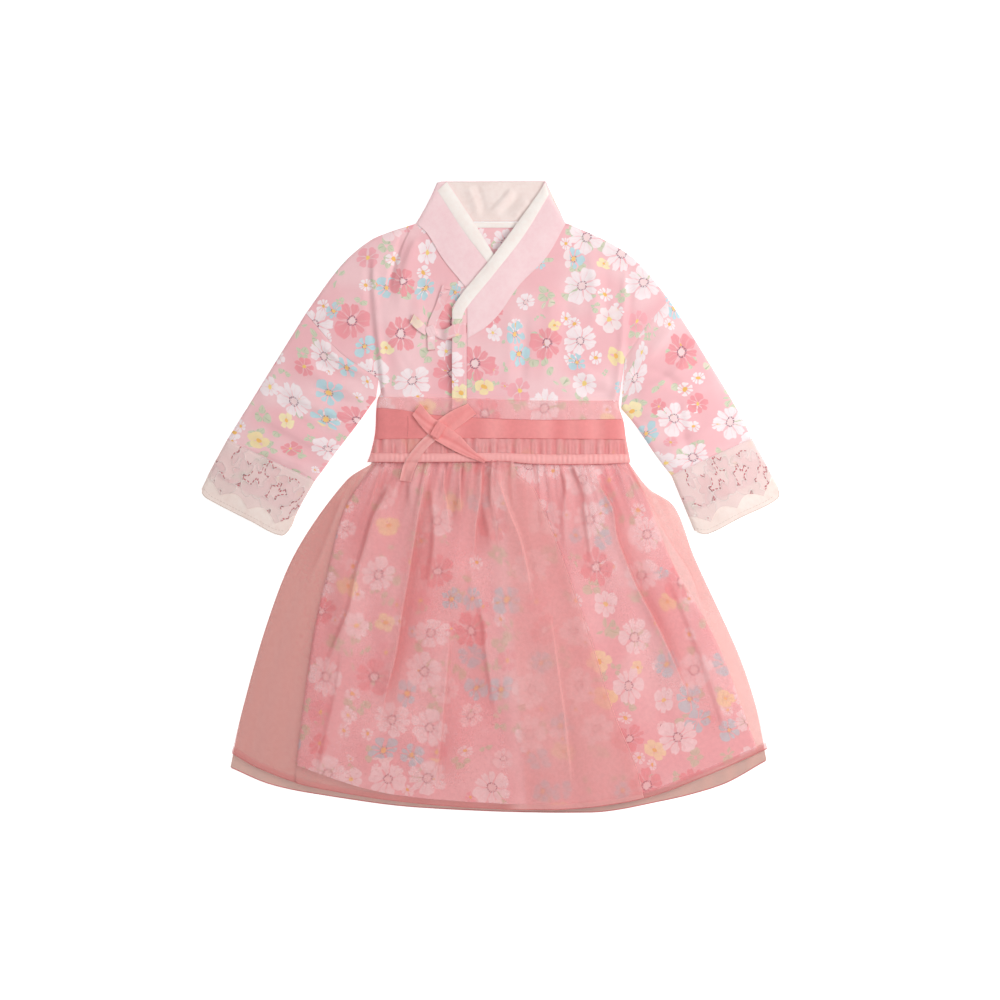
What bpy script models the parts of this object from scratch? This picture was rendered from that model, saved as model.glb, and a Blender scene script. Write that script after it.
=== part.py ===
"""A small child's hanbok dress, laid flat on its back.

The outlines are in millimetres as (x, y), seen from above with the front up: x to the right of the
view, y towards the collar, both from the middle of the garment. z is the height over the surface
that the dress lies on. "Right" and "left" in a name are the wearer's, so a right-hand piece lies at
minus x.
"""

import math
from collections import namedtuple

import bmesh
import bpy
from mathutils import Vector

MM = 0.001

# Walls and gaps
COTTON = 1.2            # printed cotton, and the plain cotton of the collar
ORGANZA = 1.0           # sheer overskirt, sash and tapes
BAND = 1.3              # collar band, two layers pressed together
GAP = 0.3               # between pieces that are sewn together or lie on each other
LOOSE = 0.5             # under a band or ribbon that lies on curved cloth
SEAM = 0.9              # between the cut edges of two pieces, seen from above

# How the cloth lies
ROLL = 25               # distance over which a panel lifts off from its outer edge
FRONT_LOFT = 3.5        # lift of the front over the back
UNDER_LOFT = 1.6        # lift of the right front where the left front lies over it
UNDER_FROM = -95        # x where the right front starts to dip under the left one
UNDER_TO = -55          # and where it has dipped
ARM_FOLD = 1.3          # depth of the hollow along the fold over each armhole
ARM_FOLD_MIDDLE = 5.4   # from the fold to the middle of its hollow
ARM_FOLD_WIDTH = 9
SKIRT_LOFT = 3.4        # lift of the printed skirt's front
VEIL_LOFT = 1.8         # lift of the overskirt outside the printed skirt
VEIL_OVER_SKIRT = 4.6   # further lift of the overskirt over the printed skirt
VEIL_REACH = 18         # width of the slope from the printed skirt's edge down to the overskirt's
LEVEL_EDGE = 2          # width of the level stretch just outside the printed skirt's edge
WRAP_LIFT = 2.0         # lift of the over panel where the two front panels lap
WRAP_LIFT_FROM = -26    # from the under panel's edge to where the over panel starts to lift
WRAP_LIFT_LENGTH = 22

# Heights of the waist's seams
WAIST_TOP = 99.5
SASH_TOP = 82.5
GATHER_TOP = 57.5
ELASTIC_TOP = 43.0
WAIST = 33.5

# Levels of the stack, each the underside of its layer at the garment's outer edge
FRONT_LEVEL = COTTON + GAP
WAIST_STEP = ORGANZA + GAP
SKIRT_BACK_LEVEL = ORGANZA + GAP
VEIL_LEVEL = ORGANZA + GAP
SKIRT_LEVEL = SKIRT_BACK_LEVEL + COTTON + GAP
BAND_LEVEL = FRONT_LEVEL + WAIST_STEP + COTTON + LOOSE
STEP_FROM = 142         # y where the body starts to rise over the waist's back bands
STEP_LENGTH = 22
COLLAR_LEVEL = 3.1
COLLAR_RISE = 1.9       # lift of the left collar band from the nape to the front
COLLAR_RISE_FROM = 305  # y where it starts, and how far down it takes
COLLAR_RISE_LENGTH = 45
CROSSING_LIFT = 1.2     # further lift where it crosses the right band's edging
CROSSING = (3, 236)
CROSSING_REACH = 26

# Outer edges of the sleeves and body, from the collar to the waist
SHOULDER_RIGHT = [(-78.5, 271.2), (-100, 264.5), (-120.5, 255.5), (-148.5, 231.5), (-184.5, 183)]
SLEEVE_TOP_RIGHT = [(-184.5, 183), (-221.5, 123.5), (-263, 57)]
CUFF_TOP_RIGHT = [(-263, 57), (-279, 27), (-287.5, 12)]
CUFF_END_RIGHT = [(-287.5, 12), (-284, 1), (-276.5, -6.5), (-209, -38), (-198.5, -30)]
CUFF_UNDER_RIGHT = [(-175.5, 15.5), (-191.8, -13.5), (-198.5, -30)]
SLEEVE_UNDER_RIGHT = [(-114, 99), (-129.8, 76.5), (-152.5, 46.5), (-175.5, 15.5)]
SIDE_RIGHT = [(-109.5, 104), (-113.4, 95), (-115.5, 63), (-119.8, 43.5), (-123.5, 33.5)]

SHOULDER_LEFT = [(79, 271.4), (109.5, 258.5), (137, 242.5), (155.5, 225.5), (178.5, 196.5)]
SLEEVE_TOP_LEFT = [(178.5, 196.5), (201.5, 161), (247.5, 85.5), (261, 58)]
CUFF_TOP_LEFT = [(261, 58), (270.5, 41), (287.5, 9)]
CUFF_END_LEFT = [(287.5, 9), (286, -2), (247.5, -21.5), (216, -37), (203.5, -34)]
CUFF_UNDER_LEFT = [(180.5, 21), (194.5, -12.5), (203.5, -34)]
SLEEVE_UNDER_LEFT = [(130.5, 88), (143.9, 72), (166.5, 39), (180.5, 21)]
SIDE_LEFT = [(128.2, 95), (128.5, 89), (132.9, 75.5), (135.5, 57.5), (140, 33.5)]

# Seams that join a sleeve to the body and a cuff to a sleeve, from the outer to the inner edge
DROP_SEAM_RIGHT = [(-184.5, 183), (-171.5, 168), (-148.5, 142.5), (-111.5, 117.5)]
DROP_SEAM_LEFT = [(178.5, 196.5), (155.5, 170.5), (134.5, 139)]
CUFF_SEAM_RIGHT = [(-263, 57), (-175.5, 15.5)]
CUFF_SEAM_LEFT = [(261, 58), (180.5, 21)]
CUFF_HEM = 0.86         # where along the cuff the lace ends and its plain hem starts
CUFF_SEAM = 0.01        # of the cuff's length, from one piece to the next

# Fold of the body's front over each armhole, from the shoulder down
ARM_FOLD_RIGHT = [(-119.5, 244), (-119.5, 212), (-114.8, 158), (-108.5, 104)]
ARM_FOLD_LEFT = [(137, 230), (136, 181), (132.5, 136), (126.5, 95)]

# Collar
NAPE = [(-50, 315), (55, 315.3)]
BAND_OUTER_RIGHT = [(-53.5, 313.5), (-62, 295), (-74.7, 272.5)]
BAND_SEAM_RIGHT = [(-74.7, 272.5), (-64, 263.5), (-47.5, 237), (-24.5, 208.8), (-8, 190)]
BAND_INNER_RIGHT = [(-43.5, 315.3), (-14.5, 270.5), (3.2, 242), (18, 221)]
BAND_OUTER_LEFT = [(56.8, 313), (59.5, 300.9), (75.3, 272.7)]
BAND_SEAM_LEFT = [(75.3, 272.7), (55.5, 238.5), (28.5, 210.5), (10.5, 184.5), (-4, 169.5), (-23.5, 157.5)]
BAND_INNER_LEFT = [(54.5, 315), (47.1, 301.7), (3.2, 241.1), (-23.5, 207.9)]
EDGING_OUTER_RIGHT = [(-53, 305), (-27.5, 265.5), (-4.5, 235.5), (-1, 231)]
EDGING_INNER_RIGHT = [(-43.5, 314.5), (-14.5, 270.5), (3.2, 242), (7.5, 235.5)]
EDGING_OUTER_LEFT = [(58.5, 301.5), (32.2, 258.5), (2.5, 220.5), (-24.2, 187.5), (-28.5, 177)]
EDGING_INNER_LEFT = [(54.8, 313.5), (47.1, 301.7), (3.2, 241.1), (-37, 190.5), (-38.2, 177)]
NECK_TAPE_TOP = 274.0
NECK_TAPE_BOTTOM = 268.3
NECK_TAPE_HALF = 58

# Fronts: the right one's hidden edge, and the left one's placket
FRONT_EDGE_RIGHT = [(-8, 190), (12, 160), (29.5, 98), (29.5, WAIST)]
PLACKET_EDGE = (-38.5, 188.5)   # its free edge and that edge's top
PLACKET_SEAM = (-23.5, 157.5)   # its seam to the front, where the collar band ends on it
PLACKET_CORNER = 204            # top of its strip at the seam, under the collar's edging

# Skirts, from the waist to the hem
VEIL_RIGHT = [(-118.5, 33), (-144.5, 15.5), (-193.5, -53.5), (-221.5, -121.5), (-247.5, -211.5)]
VEIL_LEFT = [(138.5, 33), (157.5, 8.5), (183.5, -10), (203.5, -60.5), (247, -155.5), (265, -208.5)]
VEIL_FRONT_HEM = [(-258.5, -256), (-232.5, -270.5), (-181.5, -288.5), (-63.5, -306.5), (69.5, -311.5),
                  (152.5, -300.5), (213.5, -278.5), (276.5, -251.5)]
VEIL_BACK_HEM = [(-260, -270.5), (-219.5, -287.5), (-164.5, -298.5), (-71.5, -310.5), (99.5, -315.5),
                 (154.5, -307.5), (229.5, -288.5), (276, -263.5)]
SKIRT_RIGHT = [(-115.5, 33), (-145, -10.5), (-163, -75.5), (-178.5, -147.5), (-194.5, -268)]
SKIRT_LEFT = [(137.5, 33), (152.5, 5.5), (183.5, -70.5), (213.5, -121.5), (234.5, -165.5), (266, -252)]
SKIRT_HEM = [(-194.5, -268), (-127.5, -290.5), (-63.5, -301.5), (88.5, -307.5), (152.5, -296.5),
             (213.5, -275.5), (266, -252)]
WRAP_EDGE = [(27.5, 33), (40.5, 5.5), (68.5, -45.5), (91.5, -121.5), (117, -190.5), (152.5, -300.5)]
WRAP_UNDER_EDGE = [(12, 33), (24, -140), (36.5, -310.5)]

# Largest folds of the overskirt's front: where each starts at the waist and ends at the hem, as a
# fraction of its panel's width, its height and half width, and the stretch over which it shows
Fold = namedtuple("Fold", "at_waist at_hem height half_width start end")
OVER_PANEL_FOLDS = [
    Fold(0.10, 0.20, 2.6, 9, 0.05, 1.00),
    Fold(0.40, 0.34, 3.4, 10, 0.04, 0.95),
    Fold(0.55, 0.49, 2.2, 9, 0.04, 0.55),
    Fold(0.76, 0.64, 3.0, 10, 0.04, 0.90),
]
UNDER_PANEL_FOLDS = [
    Fold(0.56, 0.60, 2.0, 7, 0.04, 0.50),
    Fold(0.70, 0.77, 3.4, 10, 0.03, 0.95),
    Fold(0.86, 0.90, 2.4, 8, 0.03, 0.70),
]
PANEL_EDGES = [(0.0, 0.0), (0.02, 0.03), (0.98, 0.98), (1.0, 1.0)]

# How full each skirt is from the waist to the hem, as a fraction of its lift
Fullness = namedtuple("Fullness", "down skirt veil")
FULLNESS = [
    Fullness(0.0, 0.50, 0.50),
    Fullness(0.25, 0.90, 0.95),
    Fullness(0.60, 1.00, 1.00),
    Fullness(1.0, 0.60, 0.60),
]
SKIRT_DROP = 345        # from the waist seam down to the lowest hem

# Ties and bow: routes along the middle of each ribbon, with its width
Ribbon = namedtuple("Ribbon", "route width")
TIE_UPPER = Ribbon([(-39, 213), (-47, 195), (-56.5, 172.5)], 8.5)
TIE_LOWER = Ribbon([(-23.5, 168.3), (-38, 164.5), (-52.5, 162)], 11)
TIE_TAIL_SIDE = Ribbon([(-66.5, 169), (-78.5, 177)], 10)
TIE_TAIL_DOWN = Ribbon([(-60.5, 158), (-59.5, 146.5)], 8)
BOW_END_RIGHT = Ribbon([(-61.8, 74.2), (-74, 87)], 14)
BOW_END_LEFT = Ribbon([(-43.2, 73), (-18.5, 88)], 13.5)
BOW_TAIL_RIGHT = Ribbon([(-61.2, 59.8), (-73.5, 42), (-85.5, 27), (-89, 15)], 13)
BOW_TAIL_LEFT = Ribbon([(-43.8, 60), (-34.5, 53.5), (-20.5, 43.5), (-5, 38.5)], 12)
TIE_KNOT = ((-59.5, 165.5), (9.5, 11.5, 3.6))
BOW_KNOT = ((-52.5, 67.5), (13, 17, 4.6))
TIE_STEP_FROM = -42     # x where the lower tie starts down from the placket
TIE_STEP_TO = -51
BOW_STEP_FROM = 4       # below the waist seam, where a tail of the bow comes to lie on the overskirt
BOW_STEP_LENGTH = 8
KNOT_ROUNDING = 0.32    # of a knot's height

# Grid of each kind of panel
SKIRT_ROWS = 9
BODICE_ROWS = 14
SLEEVE_ROWS = 6
SLEEVE_COLUMNS = 8
COLUMN_WIDTH = 32       # of the overskirt's columns at its hem, at most about
RIBBON_STEP = 9
SLEEVE_START = 0.005    # of a sleeve's length, from the body's seam
SLEEVE_INSET = 2.2      # from a sleeve's outer edge to its hollow
CURVE_STEPS = 6         # steps that a smooth curve takes between two of its points
SAME_ROW = 0.005        # corners closer than this share one row
FOLD_FADE = 0.12        # of the skirt's length, over which a fold starts and ends
EDGE_COLUMNS = (0.0, 0.03, 0.08, 0.16)


def clear_scene():
    for thing in list(bpy.data.objects):
        bpy.data.objects.remove(thing, do_unlink=True)


def ease(value):
    """0 below 0, 1 above 1, and a smooth step between."""
    part = min(max(value, 0), 1)
    return part * part * (3 - 2 * part)


def rise(distance):
    """How far a panel has lifted off at a distance inside its outer edge, from 0 to 1."""
    return 1 - math.exp(-max(distance, 0) / ROLL)


class Outline:
    """Smooth curves through short lists of points, joined at corners."""

    def __init__(self, *runs):
        self.points = []
        joints = []
        for run in runs:
            self.points += self.smooth([Vector(point) for point in run])
            joints.append(len(self.points) - 1)
        self.lengths = [0.0]
        for a, b in zip(self.points, self.points[1:]):
            self.lengths.append(self.lengths[-1] + (b - a).length)
        self.corners = [self.lengths[joint] / self.lengths[-1] for joint in joints[:-1]]

    @staticmethod
    def smooth(knots):
        """Points along a curve through the knots, which leaves each at its neighbours' slope."""
        if len(knots) == 2:
            return knots
        at = [0.0]
        for a, b in zip(knots, knots[1:]):
            at.append(at[-1] + (b - a).length)
        last = len(knots) - 1
        slopes = []
        for i in range(len(knots)):
            before = max(i - 1, 0)
            after = min(i + 1, last)
            slopes.append((knots[after] - knots[before]) / (at[after] - at[before]))
        points = [knots[0]]
        for i in range(last):
            span = at[i + 1] - at[i]
            for step in range(1, CURVE_STEPS + 1):
                t = step / CURVE_STEPS
                points.append(knots[i] * (2 * t ** 3 - 3 * t ** 2 + 1)
                              + slopes[i] * (span * (t ** 3 - 2 * t ** 2 + t))
                              + knots[i + 1] * (3 * t ** 2 - 2 * t ** 3)
                              + slopes[i + 1] * (span * (t ** 3 - t ** 2)))
        return points

    def at(self, fraction):
        """Point at a fraction of the outline's length."""
        goal = min(max(fraction, 0), 1) * self.lengths[-1]
        for i in range(len(self.points) - 1):
            if goal <= self.lengths[i + 1] and self.lengths[i + 1] > self.lengths[i]:
                t = (goal - self.lengths[i]) / (self.lengths[i + 1] - self.lengths[i])
                return self.points[i].lerp(self.points[i + 1], t)
        return self.points[-1].copy()

    def distance(self, x, y):
        """Distance from a point to the outline."""
        spot = Vector((x, y))
        nearest = math.inf
        for a, b in zip(self.points, self.points[1:]):
            along = b - a
            if along.length_squared == 0:
                continue
            t = min(max((spot - a).dot(along) / along.length_squared, 0), 1)
            nearest = min(nearest, (spot - a - along * t).length)
        return nearest

    def x_at(self, y):
        """x where an outline that runs down crosses a height."""
        for a, b in zip(self.points, self.points[1:]):
            if b.y <= y <= a.y and a.y > b.y:
                return a.x + (b.x - a.x) * (a.y - y) / (a.y - b.y)
        if y > self.points[0].y:
            return self.points[0].x
        return self.points[-1].x


body_outline = [
    Outline(SHOULDER_RIGHT, SLEEVE_TOP_RIGHT, CUFF_TOP_RIGHT),
    Outline(SLEEVE_UNDER_RIGHT, CUFF_UNDER_RIGHT),
    Outline(SIDE_RIGHT),
    Outline(SHOULDER_LEFT, SLEEVE_TOP_LEFT, CUFF_TOP_LEFT),
    Outline(SLEEVE_UNDER_LEFT, CUFF_UNDER_LEFT),
    Outline(SIDE_LEFT),
]
veil_sides = [Outline(VEIL_RIGHT + VEIL_FRONT_HEM[:1]), Outline(VEIL_LEFT + VEIL_FRONT_HEM[-1:])]
skirt_sides = [Outline(SKIRT_RIGHT), Outline(SKIRT_LEFT)]
arm_folds = [Outline(ARM_FOLD_RIGHT), Outline(ARM_FOLD_LEFT)]
wrap_edge = Outline(WRAP_EDGE)
wrap_under_edge = Outline(WRAP_UNDER_EDGE)


def patch(top, bottom, right, left):
    """Point at u across and v down between four outlines that meet at their ends."""
    def point(u, v):
        across = top.at(u).lerp(bottom.at(u), v)
        down = right.at(v).lerp(left.at(v), u)
        above = top.at(0).lerp(top.at(1), u)
        below = bottom.at(0).lerp(bottom.at(1), u)
        return across + down - above.lerp(below, v)
    return point


def part_of(surface, u_from, u_to, v_from, v_to):
    """The same surface between two fractions of its width and two of its length."""
    def point(u, v):
        return surface(u_from + (u_to - u_from) * u, v_from + (v_to - v_from) * v)
    return point


def narrowed(surface, right, left):
    """The same surface, set in from its two sides by so many millimetres."""
    def point(u, v):
        width = (surface(1, v) - surface(0, v)).length
        start = right / width
        return surface(start + (1 - start - left / width) * u, v)
    return point


def along(ribbon):
    """Surface of a ribbon's width along its route."""
    line = Outline(ribbon.route)

    def point(u, v):
        ahead = line.at(v + 0.01) - line.at(v - 0.01)
        side = Vector((-ahead.y, ahead.x)).normalized()
        return line.at(v) + side * ribbon.width * (0.5 - u)
    return point


# Heights of the undersides

def waist_step(x, y):
    """How far the waist's back bands raise what lies on them."""
    return WAIST_STEP * ease((STEP_FROM - y) / STEP_LENGTH)


def edge_distance(x, y):
    return min(outline.distance(x, y) for outline in body_outline)


def arm_fold(x, y):
    """1 in the hollow just outside the fold over an armhole, 0 away from it."""
    outside_right = arm_folds[0].x_at(y) - x
    outside_left = x - arm_folds[1].x_at(y)
    outside = max(outside_right, outside_left)
    if outside < 0 or y > ARM_FOLD_LEFT[0][1]:
        return 0
    return math.exp(-((outside - ARM_FOLD_MIDDLE) / ARM_FOLD_WIDTH) ** 2)


def front_lift(x, y):
    return rise(edge_distance(x, y)) * (FRONT_LOFT - ARM_FOLD * arm_fold(x, y))


def left_front_height(x, y):
    return FRONT_LEVEL + waist_step(x, y) + front_lift(x, y)


def right_front_height(x, y):
    dipped = ease((x - UNDER_FROM) / (UNDER_TO - UNDER_FROM))
    lift = front_lift(x, y) * (1 - dipped * (1 - UNDER_LOFT / FRONT_LOFT))
    return FRONT_LEVEL + waist_step(x, y) + lift


def sleeve_crown(x, y):
    """Top of a sleeve or cuff."""
    return FRONT_LEVEL + COTTON + front_lift(x, y)


def band_height(x, y):
    """Underside of the waist's front bands."""
    return BAND_LEVEL + FRONT_LOFT * rise(edge_distance(x, y))


def left_collar_height(x, y):
    crossing = math.hypot(x - CROSSING[0], y - CROSSING[1]) / CROSSING_REACH
    risen = COLLAR_RISE * ease((COLLAR_RISE_FROM - y) / COLLAR_RISE_LENGTH)
    return COLLAR_LEVEL + risen + CROSSING_LIFT * math.exp(-crossing ** 2)


def fullness(y):
    """Share of the skirt's and of the overskirt's lift at a height."""
    down = min(max((WAIST - y) / SKIRT_DROP, 0), 1)
    for a, b in zip(FULLNESS, FULLNESS[1:]):
        if down <= b.down:
            t = ease((down - a.down) / (b.down - a.down))
            return a.skirt + (b.skirt - a.skirt) * t, a.veil + (b.veil - a.veil) * t
    return FULLNESS[-1].skirt, FULLNESS[-1].veil


def inside_skirt(x, y):
    """Distance inside the printed skirt's sides, less than 0 outside them."""
    nearest = min(side.distance(x, y) for side in skirt_sides)
    if skirt_sides[0].x_at(y) <= x <= skirt_sides[1].x_at(y):
        return nearest
    return -nearest


def skirt_height(x, y):
    return SKIRT_LEVEL + SKIRT_LOFT * fullness(y)[0] * rise(inside_skirt(x, y))


def veil_height(x, y):
    """Underside of the overskirt's front, which rises over the printed skirt's edge."""
    inside = inside_skirt(x, y)
    over_edge = ease((inside + VEIL_REACH) / (VEIL_REACH - LEVEL_EDGE))
    beside = VEIL_LOFT * rise(min(side.distance(x, y) for side in veil_sides)) * (1 - over_edge)
    over_skirt = SKIRT_LEVEL + COTTON + 2 * GAP
    base = VEIL_LEVEL + (over_skirt - VEIL_LEVEL) * over_edge
    return base + beside + VEIL_OVER_SKIRT * fullness(y)[1] * rise(inside)


def over_panel_height(x, y):
    lap = ease((x - wrap_under_edge.x_at(y) - WRAP_LIFT_FROM) / WRAP_LIFT_LENGTH)
    return veil_height(x, y) + WRAP_LIFT * lap


def waist_front_height(x, y):
    """Underside of whatever the bow lies on: the waist's bands, then the overskirt."""
    below = ease((WAIST - BOW_STEP_FROM - y) / BOW_STEP_LENGTH)
    bands = band_height(x, y)
    return bands + max(over_panel_height(x, y) - bands, 0) * below


# Builders

def material(name, colour, roughness, sheen=0.0, alpha=1.0):
    made = bpy.data.materials.new(name)
    made.use_nodes = True
    shader = made.node_tree.nodes["Principled BSDF"]
    shader.inputs["Base Color"].default_value = (*colour, 1)
    shader.inputs["Roughness"].default_value = roughness
    shader.inputs["Metallic"].default_value = 0
    shader.inputs["Sheen Weight"].default_value = sheen
    shader.inputs["Alpha"].default_value = alpha
    return made


def finish(name, mesh, look):
    """Put a closed bmesh into the scene as one named object, in metres."""
    bmesh.ops.recalc_face_normals(mesh, faces=mesh.faces)
    bmesh.ops.scale(mesh, vec=(MM, MM, MM), verts=mesh.verts)
    data = bpy.data.meshes.new(name)
    mesh.to_mesh(data)
    mesh.free()
    data.shade_smooth()
    data.set_sharp_from_angle(angle=math.radians(40))
    data.materials.append(look)
    bpy.context.scene.collection.objects.link(bpy.data.objects.new(name, data))


def even(count):
    """Columns at even fractions of a panel's width."""
    return [(i / count, i / count) for i in range(count + 1)]


def edged(count):
    """Columns that lie closer together near both sides, where a panel curves down."""
    inside = [EDGE_COLUMNS[-1] + (1 - 2 * EDGE_COLUMNS[-1]) * i / count for i in range(count + 1)]
    across = list(EDGE_COLUMNS[:-1]) + inside + [1 - edge for edge in reversed(EDGE_COLUMNS[:-1])]
    return [(u, u) for u in across]


def rows_of(count, *outlines):
    """Rows down a panel, one at each corner of its outlines and the rest even between them."""
    corners = sorted({0.0, 1.0}.union(*(outline.corners for outline in outlines)))
    kept = [corner for i, corner in enumerate(corners) if i == 0 or corner - corners[i - 1] > SAME_ROW]
    rows = []
    for a, b in zip(kept, kept[1:]):
        parts = max(1, round((b - a) * count))
        rows += [a + (b - a) * i / parts for i in range(parts)]
    return rows + [1.0]


def level(height):
    """Underside of a panel that lies flat."""
    return lambda x, y: height


def panel(name, surface, columns, rows, underside, wall, look, folds=()):
    """A wall of cloth over a surface, with its underside at a given height."""
    mesh = bmesh.new()
    across = len(columns) - 1
    down = len(rows) - 1
    bmesh.ops.create_grid(mesh, x_segments=across, y_segments=down, size=0.5)
    for vert in mesh.verts:
        at_top, at_bottom = columns[round((vert.co.x + 0.5) * across)]
        v = rows[round((0.5 - vert.co.y) * down)]
        u = at_top + (at_bottom - at_top) * v
        x, y = surface(u, v)
        width = (surface(1, v) - surface(0, v)).length
        vert.co = (x, y, underside(x, y) + sum(fold_lift(fold, u, v, width) for fold in folds))
    upper = bmesh.ops.extrude_face_region(mesh, geom=mesh.faces[:])
    raised = [item for item in upper["geom"] if isinstance(item, bmesh.types.BMVert)]
    bmesh.ops.translate(mesh, vec=(0, 0, wall), verts=raised)
    finish(name, mesh, look)


def fold_lift(fold, u, v, width):
    """Height of one fold at a place on its panel."""
    middle = fold.at_waist + (fold.at_hem - fold.at_waist) * v
    side = max(0, 1 - abs(u - middle) * width / fold.half_width)
    fade = ease((v - fold.start) / FOLD_FADE) * ease((fold.end + FOLD_FADE - v) / FOLD_FADE)
    return fold.height * side * fade


def fold_columns(folds, surface):
    """Grid columns on the crest and both feet of each fold, and more where they lie far apart.

    The feet of neighbouring folds keep the same order at the waist and at the hem, so that no two
    columns cross.
    """
    waist_width = (surface(1, 0) - surface(0, 0)).length
    hem_width = (surface(1, 1) - surface(0, 1)).length
    columns = list(PANEL_EDGES)
    for fold in folds:
        for side in (-1, 0, 1):
            columns.append((fold.at_waist + side * fold.half_width / waist_width,
                            fold.at_hem + side * fold.half_width / hem_width))
    columns.sort()
    closer = []
    for a, b in zip(columns, columns[1:]):
        parts = max(1, round((b[1] - a[1]) * hem_width / COLUMN_WIDTH))
        for i in range(parts):
            closer.append(tuple(p + (q - p) * i / parts for p, q in zip(a, b)))
    return closer + [columns[-1]]


def tube(name, surface, rows, crown, wall, look):
    """A flattened sleeve: a flat wall below, a domed one above, and a hollow between them."""
    mesh = bmesh.new()
    slot = mesh.verts.layers.int.new("slot")
    around = 2 * (SLEEVE_COLUMNS + 1)

    def ring(v):
        outer = []
        inner = []
        inset = SLEEVE_INSET / (surface(1, v) - surface(0, v)).length
        for i in range(around):
            below = i > SLEEVE_COLUMNS
            u = (around - 1 - i if below else i) / SLEEVE_COLUMNS
            x, y = surface(u, v)
            outer.append(Vector((x, y, 0 if below else crown(x, y))))
            x, y = surface(inset + (1 - 2 * inset) * u, v)
            inner.append(Vector((x, y, wall if below else crown(x, y) - wall)))
        return outer + inner

    first = [mesh.verts.new(place) for place in ring(0)]
    for i, vert in enumerate(first):
        vert[slot] = i
    faces = []
    for i in range(around):
        j = (i + 1) % around
        faces.append(mesh.faces.new((first[i], first[j], first[around + j], first[around + i])))
    for row in range(1, rows + 1):
        grown = bmesh.ops.extrude_face_region(mesh, geom=faces)["geom"]
        places = ring(row / rows)
        for item in grown:
            if isinstance(item, bmesh.types.BMVert):
                item.co = places[item[slot]]
        if row > 1:
            bmesh.ops.delete(mesh, geom=faces, context="FACES_ONLY")
        faces = [item for item in grown if isinstance(item, bmesh.types.BMFace)]
    finish(name, mesh, look)


def knot(name, spec, underside, look):
    """A knot of cloth: a box with its edges rounded off."""
    (x, y), size = spec
    reach = (-size[0] / 2, 0, size[0] / 2)
    bottom = max(underside(x + dx, y + dy) for dx in reach for dy in reach)
    mesh = bmesh.new()
    bmesh.ops.create_cube(mesh, size=1)
    bmesh.ops.scale(mesh, vec=size, verts=mesh.verts)
    bmesh.ops.translate(mesh, vec=(x, y, bottom + size[2] / 2), verts=mesh.verts)
    bmesh.ops.bevel(mesh, geom=mesh.edges[:], offset=size[2] * KNOT_ROUNDING, offset_type="OFFSET",
                    segments=2, profile=0.5, affect="EDGES", material=-1)
    finish(name, mesh, look)


def above(height, wall, gap=GAP):
    """Underside of what lies on a wall of cloth with its own underside at a height."""
    def underside(x, y):
        return height(x, y) + wall + gap
    return underside


# The garment

def build_bodice(printed):
    outer_right = Outline(SHOULDER_RIGHT, DROP_SEAM_RIGHT, [DROP_SEAM_RIGHT[-1], SIDE_RIGHT[0]],
                          SIDE_RIGHT)
    outer_left = Outline(SHOULDER_LEFT, DROP_SEAM_LEFT, [DROP_SEAM_LEFT[-1], SIDE_LEFT[0]], SIDE_LEFT)

    back = patch(Outline([SHOULDER_RIGHT[0], SHOULDER_LEFT[0]]), Outline([SIDE_RIGHT[-1], SIDE_LEFT[-1]]),
                 outer_right, outer_left)
    panel("bodice_back", back, even(10), rows_of(BODICE_ROWS, outer_right, outer_left),
          waist_step, COTTON, printed)

    inner = Outline(BAND_SEAM_RIGHT, FRONT_EDGE_RIGHT)
    right = patch(Outline([SHOULDER_RIGHT[0], BAND_SEAM_RIGHT[0]]),
                  Outline([SIDE_RIGHT[-1], FRONT_EDGE_RIGHT[-1]]), outer_right, inner)
    panel("bodice_front_right", right, even(11), rows_of(BODICE_ROWS, outer_right, inner),
          right_front_height, COTTON, printed)

    placket_seam = [PLACKET_SEAM, (PLACKET_SEAM[0], WAIST)]
    inner = Outline(BAND_SEAM_LEFT, placket_seam)
    left = patch(Outline([BAND_SEAM_LEFT[0], SHOULDER_LEFT[0]]),
                 Outline([placket_seam[1], SIDE_LEFT[-1]]), inner, outer_left)
    panel("bodice_front_left", left, even(12), rows_of(BODICE_ROWS, inner, outer_left),
          left_front_height, COTTON, printed)

    edge = Outline([PLACKET_EDGE, (PLACKET_EDGE[0], WAIST)])
    seam_x = PLACKET_SEAM[0] - SEAM
    seam = Outline([(seam_x, PLACKET_CORNER), (seam_x, WAIST)])
    placket = patch(Outline([edge.at(0), seam.at(0)]), Outline([edge.at(1), seam.at(1)]), edge, seam)
    panel("front_placket", placket, even(2), rows_of(BODICE_ROWS, edge), left_front_height, COTTON,
          printed)


def build_sleeve(side, drop_seam, cuff_seam, upper, under, cuff_upper, cuff_under, cuff_end,
                 printed, lace, plain):
    """A sleeve, its lace cuff and the cuff's plain hem, one after the other down the arm."""
    inner = Outline([drop_seam[-1], under[0]], under)
    sleeve = patch(Outline(drop_seam), Outline(cuff_seam), Outline(upper), inner)
    sleeve = part_of(narrowed(sleeve, 0, SEAM), 0, 1, SLEEVE_START, 1)
    tube("sleeve_" + side, sleeve, SLEEVE_ROWS, sleeve_crown, COTTON, printed)

    cuff = patch(Outline(cuff_seam), Outline(cuff_end), Outline(cuff_upper), Outline(cuff_under))
    tube("lace_cuff_" + side, part_of(cuff, 0, 1, CUFF_SEAM, CUFF_HEM), 3, sleeve_crown, COTTON, lace)
    tube("cuff_hem_" + side, part_of(cuff, 0, 1, CUFF_HEM + CUFF_SEAM, 1), 1, sleeve_crown, COTTON,
         plain)


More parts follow.
